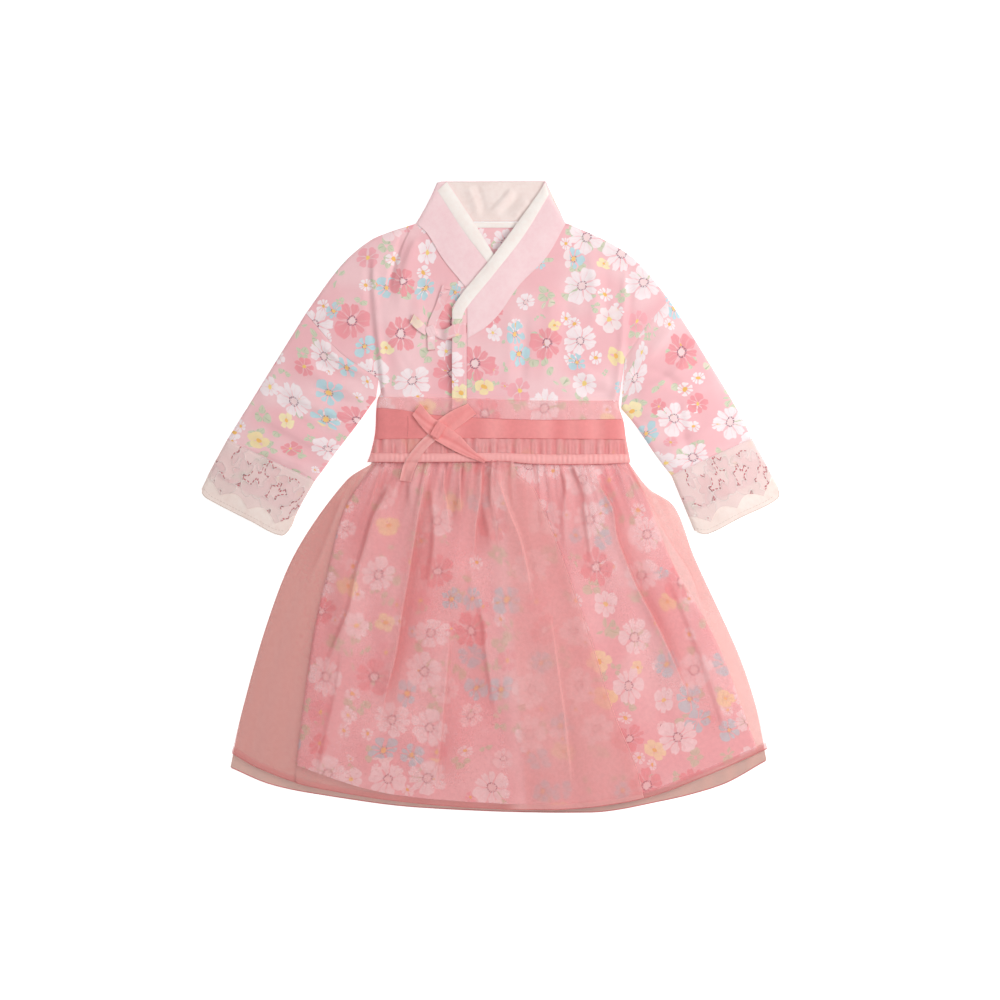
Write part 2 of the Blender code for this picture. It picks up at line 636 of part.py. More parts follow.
def build_collar(plain, cream, tape):
    back = patch(Outline(NAPE), Outline([(-73, 274.8), (74, 274.8)]),
                 Outline([NAPE[0], (-73, 274.8)]), Outline([NAPE[1], (74, 274.8)]))
    panel("collar_back", back, even(8), rows_of(3), level(0), COTTON, plain)
    panel("collar_lining", back, even(8), rows_of(3), level(FRONT_LEVEL), COTTON, cream)

    upper = Outline([(-NECK_TAPE_HALF, NECK_TAPE_TOP), (NECK_TAPE_HALF, NECK_TAPE_TOP)])
    lower = Outline([(-NECK_TAPE_HALF, NECK_TAPE_BOTTOM), (NECK_TAPE_HALF, NECK_TAPE_BOTTOM)])
    strip = patch(upper, lower, Outline([upper.at(0), lower.at(0)]), Outline([upper.at(1), lower.at(1)]))
    panel("neck_tape", strip, even(6), rows_of(1), level(FRONT_LEVEL), ORGANZA, tape)

    outer = Outline(BAND_OUTER_RIGHT, BAND_SEAM_RIGHT)
    inner = Outline(BAND_INNER_RIGHT)
    right = patch(Outline([outer.at(0), inner.at(0)]), Outline([outer.at(1), inner.at(1)]), outer, inner)
    panel("collar_band_right", narrowed(right, SEAM, 0), even(4), rows_of(10, outer),
          level(COLLAR_LEVEL), BAND, plain)

    outer = Outline(BAND_OUTER_LEFT, BAND_SEAM_LEFT)
    inner = Outline(BAND_INNER_LEFT)
    left = patch(Outline([inner.at(0), outer.at(0)]), Outline([inner.at(1), outer.at(1)]), inner, outer)
    panel("collar_band_left", narrowed(left, 0, SEAM), even(4), rows_of(12, outer), left_collar_height,
          BAND, plain)

    for side, outer, inner, height in (
            ("right", EDGING_OUTER_RIGHT, EDGING_INNER_RIGHT, level(COLLAR_LEVEL)),
            ("left", EDGING_OUTER_LEFT, EDGING_INNER_LEFT, left_collar_height)):
        outer = Outline(outer)
        inner = Outline(inner)
        strip = patch(Outline([outer.at(0), inner.at(0)]), Outline([outer.at(1), inner.at(1)]),
                      outer, inner)
        panel("collar_edging_" + side, strip, even(2), rows_of(12), above(height, BAND), ORGANZA, cream)


def build_waist(sheer, dense, elastic):
    right = Outline(SIDE_RIGHT)
    left = Outline(SIDE_LEFT)

    def band(name, top, bottom, underside, wall, look):
        heights = (top, bottom + SEAM)
        a, b = [Vector((right.x_at(y), y)) for y in heights]
        c, d = [Vector((left.x_at(y), y)) for y in heights]
        strip = patch(Outline([a, c]), Outline([b, d]), Outline([a, b]), Outline([c, d]))
        panel(name, strip, edged(6), rows_of(1), underside, wall, look)

    band("waistband_sheer", WAIST_TOP, SASH_TOP, band_height, ORGANZA, sheer)
    band("sash_front", SASH_TOP, GATHER_TOP, band_height, ORGANZA, dense)
    band("waist_gather", GATHER_TOP, ELASTIC_TOP, band_height, ORGANZA, dense)
    band("elastic_front", ELASTIC_TOP, WAIST, band_height, COTTON, elastic)
    band("waistband_back", WAIST_TOP, ELASTIC_TOP, level(0), ORGANZA, dense)
    band("elastic_back", ELASTIC_TOP, WAIST, level(0), ORGANZA, elastic)


def build_skirts(printed, sheer):
    top = Outline([VEIL_RIGHT[0], VEIL_LEFT[0]])
    back = patch(top, Outline(VEIL_BACK_HEM), Outline(VEIL_RIGHT + VEIL_BACK_HEM[:1]),
                 Outline(VEIL_LEFT + VEIL_BACK_HEM[-1:]))
    panel("overskirt_back", back, even(12), rows_of(SKIRT_ROWS), level(0), ORGANZA, sheer)

    right = Outline(SKIRT_RIGHT)
    left = Outline(SKIRT_LEFT)
    skirt = patch(Outline([SKIRT_RIGHT[0], SKIRT_LEFT[0]]), Outline(SKIRT_HEM), right, left)
    panel("skirt_back", skirt, even(12), rows_of(SKIRT_ROWS), level(SKIRT_BACK_LEVEL), COTTON,
          printed)
    panel("skirt_front", skirt, edged(8), rows_of(SKIRT_ROWS), skirt_height, COTTON, printed)

    hem = Outline(VEIL_FRONT_HEM)
    right = Outline(VEIL_RIGHT + VEIL_FRONT_HEM[:1])
    left = Outline(VEIL_LEFT + VEIL_FRONT_HEM[-1:])
    whole = patch(top, hem, right, left)

    def over(u, v):
        return whole(u * share_at(whole, wrap_edge, v), v)

    def under(u, v):
        start = share_at(whole, wrap_under_edge, v)
        return whole(start + (1 - start) * u, v)

    panel("overskirt_front_under", under, fold_columns(UNDER_PANEL_FOLDS, under), rows_of(SKIRT_ROWS),
          veil_height, ORGANZA, sheer, UNDER_PANEL_FOLDS)
    panel("overskirt_front_over", over, fold_columns(OVER_PANEL_FOLDS, over), rows_of(SKIRT_ROWS),
          over_panel_height, ORGANZA, sheer, OVER_PANEL_FOLDS)


def share_at(surface, edge, v):
    """Fraction of a surface's width at which an edge that runs down crosses one of its rows."""
    low = 0.0
    high = 1.0
    for _ in range(24):
        middle = (low + high) / 2
        x, y = surface(middle, v)
        if x < edge.x_at(y):
            low = middle
        else:
            high = middle
    return (low + high) / 2


def build_ties(printed):
    on_front = above(right_front_height, COTTON, LOOSE)
    on_placket = above(left_front_height, COTTON, LOOSE)

    def from_placket(x, y):
        dropped = ease((TIE_STEP_FROM - x) / (TIE_STEP_FROM - TIE_STEP_TO))
        return on_placket(x, y) + (on_front(x, y) - on_placket(x, y)) * dropped

    ribbon("tie_upper", TIE_UPPER, on_front, COTTON, printed)
    ribbon("tie_lower", TIE_LOWER, from_placket, COTTON, printed)
    ribbon("tie_tail_side", TIE_TAIL_SIDE, on_front, COTTON, printed)
    ribbon("tie_tail_down", TIE_TAIL_DOWN, on_front, COTTON, printed)
    knot("tie_knot", TIE_KNOT, on_front, printed)


def build_bow(dense):
    on_band = above(waist_front_height, COTTON)
    ribbon("bow_end_right", BOW_END_RIGHT, on_band, ORGANZA, dense)
    ribbon("bow_end_left", BOW_END_LEFT, on_band, ORGANZA, dense)
    ribbon("bow_tail_right", BOW_TAIL_RIGHT, on_band, ORGANZA, dense)
    ribbon("bow_tail_left", BOW_TAIL_LEFT, on_band, ORGANZA, dense)
    knot("bow_knot", BOW_KNOT, on_band, dense)


def ribbon(name, spec, underside, wall, look):
    length = Outline(spec.route).lengths[-1]
    rows = max(3, round(length / RIBBON_STEP))
    panel(name, along(spec), even(2), rows_of(rows), underside, wall, look)


def main():
    clear_scene()
    printed = material("printed_cotton", (0.88, 0.62, 0.58), 0.6, sheen=0.2)
    plain = material("pink_cotton", (0.93, 0.62, 0.60), 0.55, sheen=0.2)
    cream = material("cream_cotton", (0.94, 0.86, 0.78), 0.6, sheen=0.2)
    lace = material("cuff_lace", (0.85, 0.74, 0.70), 0.75)
    sheer = material("coral_organza", (0.85, 0.38, 0.36), 0.4, sheen=0.3, alpha=0.5)
    dense = material("coral_sash", (0.84, 0.30, 0.29), 0.45, sheen=0.3, alpha=0.9)
    build_bodice(printed)
    build_sleeve("right", DROP_SEAM_RIGHT, CUFF_SEAM_RIGHT, SLEEVE_TOP_RIGHT, SLEEVE_UNDER_RIGHT,
                 CUFF_TOP_RIGHT, CUFF_UNDER_RIGHT, CUFF_END_RIGHT, printed, lace, cream)
    build_sleeve("left", DROP_SEAM_LEFT, CUFF_SEAM_LEFT, SLEEVE_TOP_LEFT, SLEEVE_UNDER_LEFT,
                 CUFF_TOP_LEFT, CUFF_UNDER_LEFT, CUFF_END_LEFT, printed, lace, cream)
    build_collar(plain, cream, cream)
    build_waist(sheer, dense, dense)
    build_skirts(printed, sheer)
    build_ties(printed)
    build_bow(dense)


main()
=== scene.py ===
import math
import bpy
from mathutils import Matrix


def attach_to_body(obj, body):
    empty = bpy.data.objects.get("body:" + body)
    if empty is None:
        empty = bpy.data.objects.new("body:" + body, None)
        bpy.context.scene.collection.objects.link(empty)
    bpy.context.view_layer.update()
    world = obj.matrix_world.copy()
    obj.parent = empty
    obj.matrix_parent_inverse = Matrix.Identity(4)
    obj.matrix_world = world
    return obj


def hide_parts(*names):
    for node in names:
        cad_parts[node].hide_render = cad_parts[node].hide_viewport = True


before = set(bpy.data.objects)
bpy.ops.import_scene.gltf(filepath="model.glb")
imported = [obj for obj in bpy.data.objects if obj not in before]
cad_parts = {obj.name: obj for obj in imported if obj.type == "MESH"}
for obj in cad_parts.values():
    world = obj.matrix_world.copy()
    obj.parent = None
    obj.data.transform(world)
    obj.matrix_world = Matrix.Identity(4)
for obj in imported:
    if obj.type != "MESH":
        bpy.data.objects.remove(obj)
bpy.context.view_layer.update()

from types import SimpleNamespace

import bmesh
import bpy
import numpy as np
from mathutils import Matrix, Vector

# A small child's hanbok dress, laid flat on its back. Lengths are in millimetres until a mesh is made:
# x to the right of the view, y towards the collar, z up from the surface that the dress lies on.
# Right and left are the wearer's, so the right-hand pieces lie at minus x.

mm = 0.001


# ---- lines and surfaces

def ease(value):
    part = np.clip(value, 0, 1)
    return part * part * (3 - 2 * part)


def bulge(distance, reach):
    return np.sqrt(1 - (1 - np.clip(distance / reach, 0, 1)) ** 2)  # a quarter round, from 0 to 1


def bell(distance):
    return np.exp(-distance * distance)


def smoothed(knots, steps=8):
    knots = np.array(knots, float)
    if len(knots) == 2:
        return knots
    at = np.concatenate([[0], np.cumsum(np.hypot(*np.diff(knots, axis=0).T))])
    last = len(knots) - 1
    slopes = np.array([(knots[min(i + 1, last)] - knots[max(i - 1, 0)])
                       / (at[min(i + 1, last)] - at[max(i - 1, 0)]) for i in range(last + 1)])
    points = [knots[:1]]
    t = np.linspace(0, 1, steps + 1)[1:, None]
    for i in range(last):
        span = at[i + 1] - at[i]
        points.append(knots[i] * (2 * t ** 3 - 3 * t ** 2 + 1)
                      + slopes[i] * span * (t ** 3 - 2 * t ** 2 + t)
                      + knots[i + 1] * (3 * t ** 2 - 2 * t ** 3)
                      + slopes[i + 1] * span * (t ** 3 - t ** 2))
    return np.concatenate(points)


class Line:
    # a smooth line through a few places, with a corner wherever one run ends and the next starts
    def __init__(self, *runs):
        self.points = np.concatenate([smoothed(run) for run in runs])
        self.along = np.concatenate([[0], np.cumsum(np.hypot(*np.diff(self.points, axis=0).T))])
        self.length = self.along[-1]

    def at(self, part):
        goal = np.clip(part, 0, 1) * self.length
        return np.stack([np.interp(goal, self.along, self.points[:, i]) for i in (0, 1)], -1)

    def near(self, x, y):
        # distance to the line, how far along it that is from 0 to 1, and the side: 1 is left of its way
        best = np.full(np.shape(x), 1e12)
        part = np.zeros(np.shape(x))
        side = np.zeros(np.shape(x))
        for a, b, start in zip(self.points, self.points[1:], self.along):
            run = b - a
            size = run @ run
            if size < 1e-9:
                continue
            t = np.clip(((x - a[0]) * run[0] + (y - a[1]) * run[1]) / size, 0, 1)
            dx = x - a[0] - run[0] * t
            dy = y - a[1] - run[1] * t
            far = dx * dx + dy * dy
            closer = far < best
            best = np.where(closer, far, best)
            part = np.where(closer, start + t * math.sqrt(size), part)
            side = np.where(closer, np.sign(run[0] * dy - run[1] * dx), side)
        return np.sqrt(best), part / self.length, side

    def distance(self, x, y):
        return self.near(x, y)[0]

    def xAt(self, y):
        return np.interp(-np.asarray(y), -self.points[:, 1], self.points[:, 0])

    def yAt(self, x):
        return np.interp(x, self.points[:, 0], self.points[:, 1])


def nearest(lines, x, y):
    return np.min([line.distance(x, y) for line in lines], axis=0)


def lifted(top, rise):
    return lambda x, y: top(x, y) + rise


def between(top, bottom, right, left):
    # the surface between four lines that meet at their ends: u from right to left, v from top to bottom
    def place(u, v):
        u = np.asarray(u, float)[..., None]
        v = np.asarray(v, float)[..., None]
        across = top.at(u[..., 0]) * (1 - v) + bottom.at(u[..., 0]) * v
        down = right.at(v[..., 0]) * (1 - u) + left.at(v[..., 0]) * u
        flat = ((top.at(0.0) * (1 - u) + top.at(1.0) * u) * (1 - v)
                + (bottom.at(0.0) * (1 - u) + bottom.at(1.0) * u) * v)
        return across + down - flat
    return place


def partOf(surface, uFrom=0.0, uTo=1.0, vFrom=0.0, vTo=1.0):
    return lambda u, v: surface(uFrom + (uTo - uFrom) * u, vFrom + (vTo - vFrom) * v)


def straight(a, b):
    return Line([a, b])


def stripOf(first, last):
    # the surface between two lines, closed straight across at both ends
    top, bottom = [straight(first.at(end), last.at(end)) for end in (0.0, 1.0)]
    return between(top, bottom, first, last)


def ripples(x, y, size, seed, layers=7):
    # soft uneven waves, about -1 to 1, with no direction of their own
    rng = np.random.RandomState(seed)
    total = 0
    for _ in range(layers):
        turn = rng.uniform(0, 2 * math.pi)
        wave = size * rng.uniform(0.7, 1.6)
        along = x * math.cos(turn) + y * math.sin(turn)
        total = total + np.sin(along * 2 * math.pi / wave + rng.uniform(0, 2 * math.pi))
    return total / math.sqrt(layers)


def pleats(s, size, seed, layers=5):
    # uneven waves along one direction, as in gathered cloth
    rng = np.random.RandomState(seed)
    total = 0
    for _ in range(layers):
        wave = size * rng.uniform(0.65, 1.7)
        total = total + np.sin(s * 2 * math.pi / wave + rng.uniform(0, 2 * math.pi))
    return total / math.sqrt(layers)


def creases(x, y, folds):
    # each fold: height, half width, lean (how much steeper its left side is), fade in, fade out, route
    total = np.zeros(np.shape(x))
    for height, width, lean, fadeIn, fadeOut, route in folds:
        distance, part, side = Line(route).near(x, y)
        wide = width * np.where(side > 0, 1 - lean, 1 + lean)
        shown = ease(part / max(fadeIn, 1e-3)) * ease((1 - part) / max(fadeOut, 1e-3))
        total = total + height * shown * bell(distance / wide)
    return total


# ---- the garment's outlines, from the collar to the waist

shoulderRight = [(-78.5, 271.2), (-100, 264.5), (-120.5, 255.5), (-148.5, 231.5), (-184.5, 183)]
sleeveTopRight = [(-184.5, 183), (-221.5, 123.5), (-263, 57)]
cuffTopRight = [(-263, 57), (-279.2, 27.4), (-288.6, 8)]
cuffEndRight = [(-288.6, 8), (-286.5, 2), (-281, -2.5), (-240, -23.5), (-208.5, -38.5), (-198.5, -30)]
cuffUnderRight = [(-175.5, 15.5), (-191.8, -13.5), (-198.5, -30)]
sleeveUnderRight = [(-114, 99), (-129.8, 76.5), (-152.5, 46.5), (-175.5, 15.5)]
sideRight = [(-109.5, 104), (-113.4, 95), (-115.5, 63), (-119.8, 43.5), (-123.5, 33.5)]
dropSeamRight = [(-184.5, 183), (-171.5, 168), (-148.5, 142.5), (-111.5, 117.5)]
cuffSeamRight = [(-263, 57), (-175.5, 15.5)]

shoulderLeft = [(79, 271.4), (109.5, 258.5), (137, 242.5), (155.5, 225.5), (178.5, 196.5)]
sleeveTopLeft = [(178.5, 196.5), (201.5, 161), (247.5, 85.5), (261, 58)]
cuffTopLeft = [(261, 58), (270.5, 41), (287.5, 9)]
cuffEndLeft = [(287.5, 9), (286, -2), (247.5, -21.5), (216, -37), (203.5, -34)]
cuffUnderLeft = [(180.5, 21), (194.5, -12.5), (203.5, -34)]
sleeveUnderLeft = [(130.5, 88), (143.9, 72), (166.5, 39), (180.5, 21)]
sideLeft = [(128.2, 95), (128.5, 89), (132.9, 75.5), (135.5, 57.5), (140, 33.5)]
dropSeamLeft = [(178.5, 196.5), (155.5, 170.5), (134.5, 139)]
cuffSeamLeft = [(261, 58), (180.5, 21)]

nape = [(-50, 315), (55, 315.3)]
bandOuterRight = [(-53.5, 313.5), (-62, 295), (-74.7, 272.5)]
bandSeamRight = [(-74.7, 272.5), (-64, 263.5), (-47.5, 237), (-24.5, 208.8), (-8, 190)]
bandInnerRight = [(-43.5, 315.3), (-14.5, 270.5), (3.2, 242), (18, 221)]
bandOuterLeft = [(56.8, 313), (59.5, 300.9), (75.3, 272.7)]
bandSeamLeft = [(75.3, 272.7), (55.5, 238.5), (28.5, 210.5), (10.5, 184.5), (-4, 169.5), (-23.5, 157.5)]
bandInnerLeft = [(54.5, 315), (47.1, 301.7), (3.2, 241.1), (-23.5, 207.9)]
edgingOuterRight = [(-53, 305), (-27.5, 265.5), (-4.5, 235.5), (-1, 231)]
edgingInnerRight = [(-43.5, 314.5), (-14.5, 270.5), (3.2, 242), (7.5, 235.5)]
edgingOuterLeft = [(58.5, 301.5), (32.2, 258.5), (2.5, 220.5), (-24.2, 187.5), (-28.5, 177)]
edgingInnerLeft = [(54.8, 313.5), (47.1, 301.7), (3.2, 241.1), (-37, 190.5), (-38.2, 177)]
frontEdgeRight = [(-8, 190), (12, 160), (29.5, 98), (29.5, 33.5)]
placketEdge = (-38.5, 188.5)    # the strip's free edge, and how far up it goes under the collar's edging
placketSeam = (-23.8, 204)      # its other edge, beside the collar band's end and the left front
waistY = 33.5

bodyOutline = [Line(shoulderRight, sleeveTopRight, cuffTopRight), Line(sleeveUnderRight, cuffUnderRight),
               Line(sideRight), Line(shoulderLeft, sleeveTopLeft, cuffTopLeft),
               Line(sleeveUnderLeft, cuffUnderLeft), Line(sideLeft)]
armFoldRight = Line([(-119.5, 246), (-119.5, 212), (-114.8, 158), (-108.5, 104)])
armFoldLeft = Line([(137, 232), (136, 181), (132.5, 136), (126.5, 95)])
seamRight = Line(bandSeamRight)
seamLeft = Line(bandSeamLeft)
collarOuter = [Line(bandOuterRight), Line(nape), Line(bandOuterLeft)]

# ---- the skirts' outlines, from the waist to the hem

veilRight = [(-118.5, 33), (-144.5, 15.5), (-193.5, -53.5), (-221.5, -121.5), (-247.5, -211.5)]
veilLeft = [(138.5, 33), (157.5, 8.5), (183.5, -10), (203.5, -60.5), (247, -155.5), (265, -208.5)]
veilFrontHem = [(-258.5, -256), (-232.5, -270.5), (-181.5, -288.5), (-63.5, -306.5), (69.5, -311.5),
                (152.5, -300.5), (213.5, -278.5), (276.5, -251.5)]
veilBackHem = [(-260, -270.5), (-219.5, -287.5), (-164.5, -298.5), (-71.5, -310.5), (99.5, -315.5),
               (154.5, -307.5), (229.5, -288.5), (276, -263.5)]
skirtRight = [(-115.5, 33), (-145, -10.5), (-163, -75.5), (-178.5, -147.5), (-194.5, -268)]
skirtLeft = [(137.5, 33), (152.5, 5.5), (183.5, -70.5), (213.5, -121.5), (234.5, -165.5), (266, -252)]
skirtHem = [(-194.5, -268), (-127.5, -290.5), (-63.5, -301.5), (88.5, -307.5), (152.5, -296.5),
            (213.5, -275.5), (266, -252)]
wrapEdge = Line([(22, 38), (26.9, 22.4), (34.5, 16), (43.5, 7.1), (49.9, -7), (56.2, -21), (66.4, -47.8),
                 (77.9, -79.7), (99.6, -140.9), (123, -215.9), (144.6, -267.9), (152.5, -300.5)])
wrapUnderEdge = Line([(12, 33), (24, -140), (36.5, -310.5)])

veilSides = [Line(veilRight + veilFrontHem[:1]), Line(veilLeft + veilFrontHem[-1:])]
skirtSides = [Line(skirtRight), Line(skirtLeft)]


# ---- how high each layer lies

bodyLay = {
    "edge": 1.9,        # height of the side seams and folds at the outline
    "lip": 1.7,         # quarter round up from there to the front
    "lipReach": 4,
    "loft": 3.3,        # how far the front rises beyond that, and over what distance
    "loftReach": 26,
    "back": 0.45,       # outside of the back, where it rests
    "waistStep": 1.3,   # the back bands under the waist
    "underDip": 3.0,    # the right front under the left one
    "armStep": 2.0,     # fold of the front over each armhole
    "lowest": 2.6,      # the fronts never lie lower, so that they stay above the back
}


def edgeDistance(x, y):
    return nearest(bodyOutline, x, y)


def waistStep(y):
    return bodyLay["waistStep"] * ease((142 - y) / 22)


def frontBase(x, y):
    far = edgeDistance(x, y)
    return (bodyLay["edge"] + bodyLay["lip"] * bulge(far, bodyLay["lipReach"])
            + bodyLay["loft"] * (1 - np.exp(-far / bodyLay["loftReach"])) + waistStep(y) * bulge(far, 12))


def backBase(x, y):
    far = nearest(bodyOutline + collarOuter, x, y)
    low = bodyLay["back"] + waistStep(y)
    return bodyLay["edge"] + (low - bodyLay["edge"]) * bulge(far, bodyLay["lipReach"])


def armholeFold(x, y):
    # the front's cloth stands up along the fold and drops off it onto the sleeve
    lift = 0
    for fold, way in ((armFoldRight, 1), (armFoldLeft, -1)):
        inside = (x - fold.xAt(y)) * way
        shown = ease((fold.points[0][1] - y) / 30) * ease((y - fold.points[-1][1] + 14) / 20)
        crest = bell((inside - 2.2) / 5) * (inside > 2.2) + ease(inside / 2.2) * (inside <= 2.2)
        trough = -0.55 * bell((inside + 2.5) / 4)
        lift = lift + shown * bodyLay["armStep"] * (crest + trough)
    return lift


# folds of the body and sleeves: height, half width, lean, fade in, fade out, route
bodyFolds = [
    (-3.8, 2.5, 0.4, 0.10, 0.5, [(-80.5, 268.5), (-87.5, 256.5), (-94.5, 234.5), (-99.5, 211.5),
                                 (-100.5, 190)]),
    (2.8, 6, -0.3, 0.15, 0.5, [(-70, 262), (-78, 248), (-85, 228), (-90, 205), (-91, 175)]),
    (1.1, 5, 0.2, 0.4, 0.4, [(-72, 226), (-74, 205), (-71, 180), (-66, 140)]),
    (1.5, 7, -0.3, 0.3, 0.4, [(-104, 190), (-99, 160), (-86, 128), (-62, 104)]),
    (-1.2, 5, 0.0, 0.3, 0.4, [(-96, 150), (-84, 128), (-70, 108)]),
    (1.2, 6, 0.3, 0.3, 0.4, [(-100, 112), (-84, 120), (-66, 140)]),
    (1.4, 6, 0.2, 0.3, 0.3, [(19, 196), (20, 160), (18, 125), (15, 102)]),
    (-1.7, 6, 0.2, 0.3, 0.3, [(34, 190), (34, 155), (32, 125), (30, 102)]),
    (1.2, 7, -0.2, 0.3, 0.3, [(56, 222), (60, 190), (58, 150), (50, 104)]),
    (-1.0, 6, 0.0, 0.3, 0.4, [(76, 232), (78, 200), (76, 165), (74, 120)]),
    (1.5, 7, -0.2, 0.2, 0.4, [(94, 252), (102, 226), (104, 190), (98, 150)]),
    (-1.0, 5, 0.0, 0.3, 0.4, [(114, 236), (116, 205), (112, 160)]),
    (1.5, 6, -0.3, 0.2, 0.4, [(124, 112), (102, 120), (80, 142)]),
    (-1.0, 5, 0.0, 0.2, 0.4, [(122, 102), (98, 106), (74, 124)]),
]
sleeveFolds = [
    (2.4, 6, 0.4, 0.2, 0.4, [(-116, 122), (-138, 128), (-160, 144), (-180, 166)]),
    (-1.6, 5, 0.0, 0.2, 0.4, [(-118, 112), (-142, 117), (-168, 132), (-190, 152)]),
    (2.0, 6, -0.2, 0.2, 0.4, [(-122, 104), (-148, 108), (-176, 124), (-200, 142)]),
    (2.2, 7, 0.3, 0.2, 0.4, [(-134, 82), (-160, 84), (-190, 98), (-212, 112)]),
    (-1.6, 5, 0.0, 0.2, 0.4, [(-126, 94), (-152, 96), (-182, 110)]),
    (1.7, 6, 0.2, 0.3, 0.4, [(-158, 48), (-184, 56), (-212, 72), (-238, 84)]),
    (-1.2, 5, 0.0, 0.3, 0.4, [(-150, 64), (-178, 70), (-206, 86)]),
    (1.4, 5, -0.2, 0.3, 0.4, [(-174, 26), (-200, 34), (-232, 50)]),
    (1.6, 7, 0.2, 0.3, 0.4, [(-168, 190), (-160, 172), (-146, 156)]),
    (2.4, 6, -0.4, 0.2, 0.4, [(136, 128), (156, 138), (172, 156), (184, 178)]),
    (-1.8, 5, 0.0, 0.1, 0.4, [(140, 118), (160, 126), (182, 114), (198, 96)]),
    (2.0, 6, 0.2, 0.2, 0.4, [(140, 104), (162, 110), (190, 128), (208, 146)]),
    (2.2, 7, -0.3, 0.2, 0.4, [(144, 78), (168, 82), (196, 98), (222, 112)]),
    (-1.6, 5, 0.0, 0.2, 0.4, [(185, 101), (194, 56), (197, 37)]),
    (1.8, 6, 0.2, 0.3, 0.4, [(164, 44), (186, 52), (214, 66), (240, 82)]),
    (1.5, 5, -0.3, 0.3, 0.4, [(176, 28), (198, 32), (226, 44)]),
]


def seamGroove(x, y):
    dip = 0
    for line in bodySeams:
        dip = dip - 0.7 * bell(line.distance(x, y) / 1.4)
    return dip


def creased(x, y, folds, rough, size, seed):
    # folds and a little unevenness, neither of them at the outline
    return (creases(x, y, folds) + rough * ripples(x, y, size, seed)) * bulge(edgeDistance(x, y), 10)


bodySeams = [Line(dropSeamRight), Line(dropSeamLeft), Line(cuffSeamRight), Line(cuffSeamLeft)]


def sleeveTop(x, y):
    return frontBase(x, y) + armholeFold(x, y) + seamGroove(x, y) + creased(x, y, sleeveFolds, 0.25, 34, 3)


collarLay = {
    "edge": 2.2,         # height of the bands at the neck's outline
    "lip": 2.5,          # how far they rise from there
    "crown": 0.7,        # how far a band's middle stands above its edges
    "overlap": 2.0,      # the left band over the right one
    "crossing": 1.0,     # and where it first crosses it
}


def collarCrown(x, y, seam, inner):
    out = seam.distance(x, y)
    inside = inner.distance(x, y)
    return collarLay["crown"] * np.sin(math.pi * out / (out + inside + 1e-6))


def collarEdge(x, y):
    return collarLay["edge"] + collarLay["lip"] * bulge(nearest(collarOuter, x, y), 5)


def rightBandTop(x, y):
    return collarEdge(x, y) + collarCrown(x, y, seamRight, Line(bandInnerRight))


def leftBandTop(x, y):
    overlap = collarLay["overlap"] * ease((305 - y) / 45)
    crossing = collarLay["crossing"] * bell(np.hypot(x - 3, y - 236) / 26)
    return collarEdge(x, y) + overlap + crossing + collarCrown(x, y, seamLeft, Line(bandInnerLeft))


def leftFrontTop(x, y):
    free = frontBase(x, y) + armholeFold(x, y) + creased(x, y, bodyFolds, 0.3, 42, 5)
    near = bell(seamLeft.distance(x, y) / 13) * ease((y - 140) / 20)
    return free * (1 - near) + (leftBandTop(x, y) - 0.5) * near


def rightFrontTop(x, y):
    dipped = ease((x + 95) / 40)
    free = (frontBase(x, y) - bodyLay["underDip"] * dipped + armholeFold(x, y)
            + creased(x, y, bodyFolds, 0.3, 38, 9))
    near = bell(seamRight.distance(x, y) / 13)
    return np.maximum(free * (1 - near) + (4.0 - 0.4 * dipped) * near, bodyLay["lowest"])


def placketTopAt(x, y):
    edge = 1.1 * ease((placketSeam[0] - 4 - x) / 8) * ease((184 - y) / 14) * ease((y - 106) / 16)
    return leftFrontTop(x, y) + 0.6 + edge - 0.85 * ease((x - placketSeam[0] + 3) / 3)


# ---- shader pieces

fullTurn = 6.2832    # in radians


def srgb(red, green, blue):
    # a colour as it is picked on screen, 0 to 255, to the linear values that a shader takes
    return tuple((c / 255 / 12.92 if c <= 10 else ((c / 255 + 0.055) / 1.055) ** 2.4)
                 for c in (red, green, blue)) + (1.0,)


class Signal:
    # one output of a shader node, so that values over the surface can be written as sums and products
    def __init__(self, tree, socket):
        self.tree = tree
        self.socket = socket

    def other(self, name):
        # another output of the same node
        return Signal(self.tree, self.socket.node.outputs[name])

    def __add__(self, value):
        return calc("ADD", self, value)

    def __mul__(self, value):
        return calc("MULTIPLY", self, value)

    def __sub__(self, value):
        return calc("SUBTRACT", self, value)

    def __rsub__(self, value):
        return calc("SUBTRACT", value, self)

    def __truediv__(self, value):
        return calc("DIVIDE", self, value)

    def __rtruediv__(self, value):
        return calc("DIVIDE", value, self)

    def __lt__(self, value):
        return calc("LESS_THAN", self, value)

    def __gt__(self, value):
        return calc("GREATER_THAN", self, value)

    def __abs__(self):
        return calc("ABSOLUTE", self)


def treeOf(values):
    return next(value.tree for value in values if isinstance(value, Signal))


def fill(tree, sockets, values):
    # joins signals to sockets, and sets the rest to plain values
    for name, value in values.items():
        if isinstance(value, Signal):
            tree.links.new(value.socket, sockets[name])
        else:
            sockets[name].default_value = value
    return tree


def addNode(tree, kind, inputs={}, output=0, **settings):
    # a node with its settings and inputs, and the one output that is wanted
    made = tree.nodes.new(kind)
    for name, value in settings.items():
        setattr(made, name, value)
    fill(tree, made.inputs, inputs)
    return Signal(tree, made.outputs[output])


def calc(operation, *values, clamp=False):
    return addNode(treeOf(values), "ShaderNodeMath", dict(enumerate(values)), operation=operation,
                   use_clamp=clamp)


def vectorCalc(operation, *values):
    made = addNode(treeOf(values), "ShaderNodeVectorMath", dict(enumerate(values)), operation=operation)
    return made.other("Value") if operation == "LENGTH" else made


def stretched(vector, amount):
    return addNode(vector.tree, "ShaderNodeVectorMath", {0: vector, "Scale": amount}, operation="SCALE")


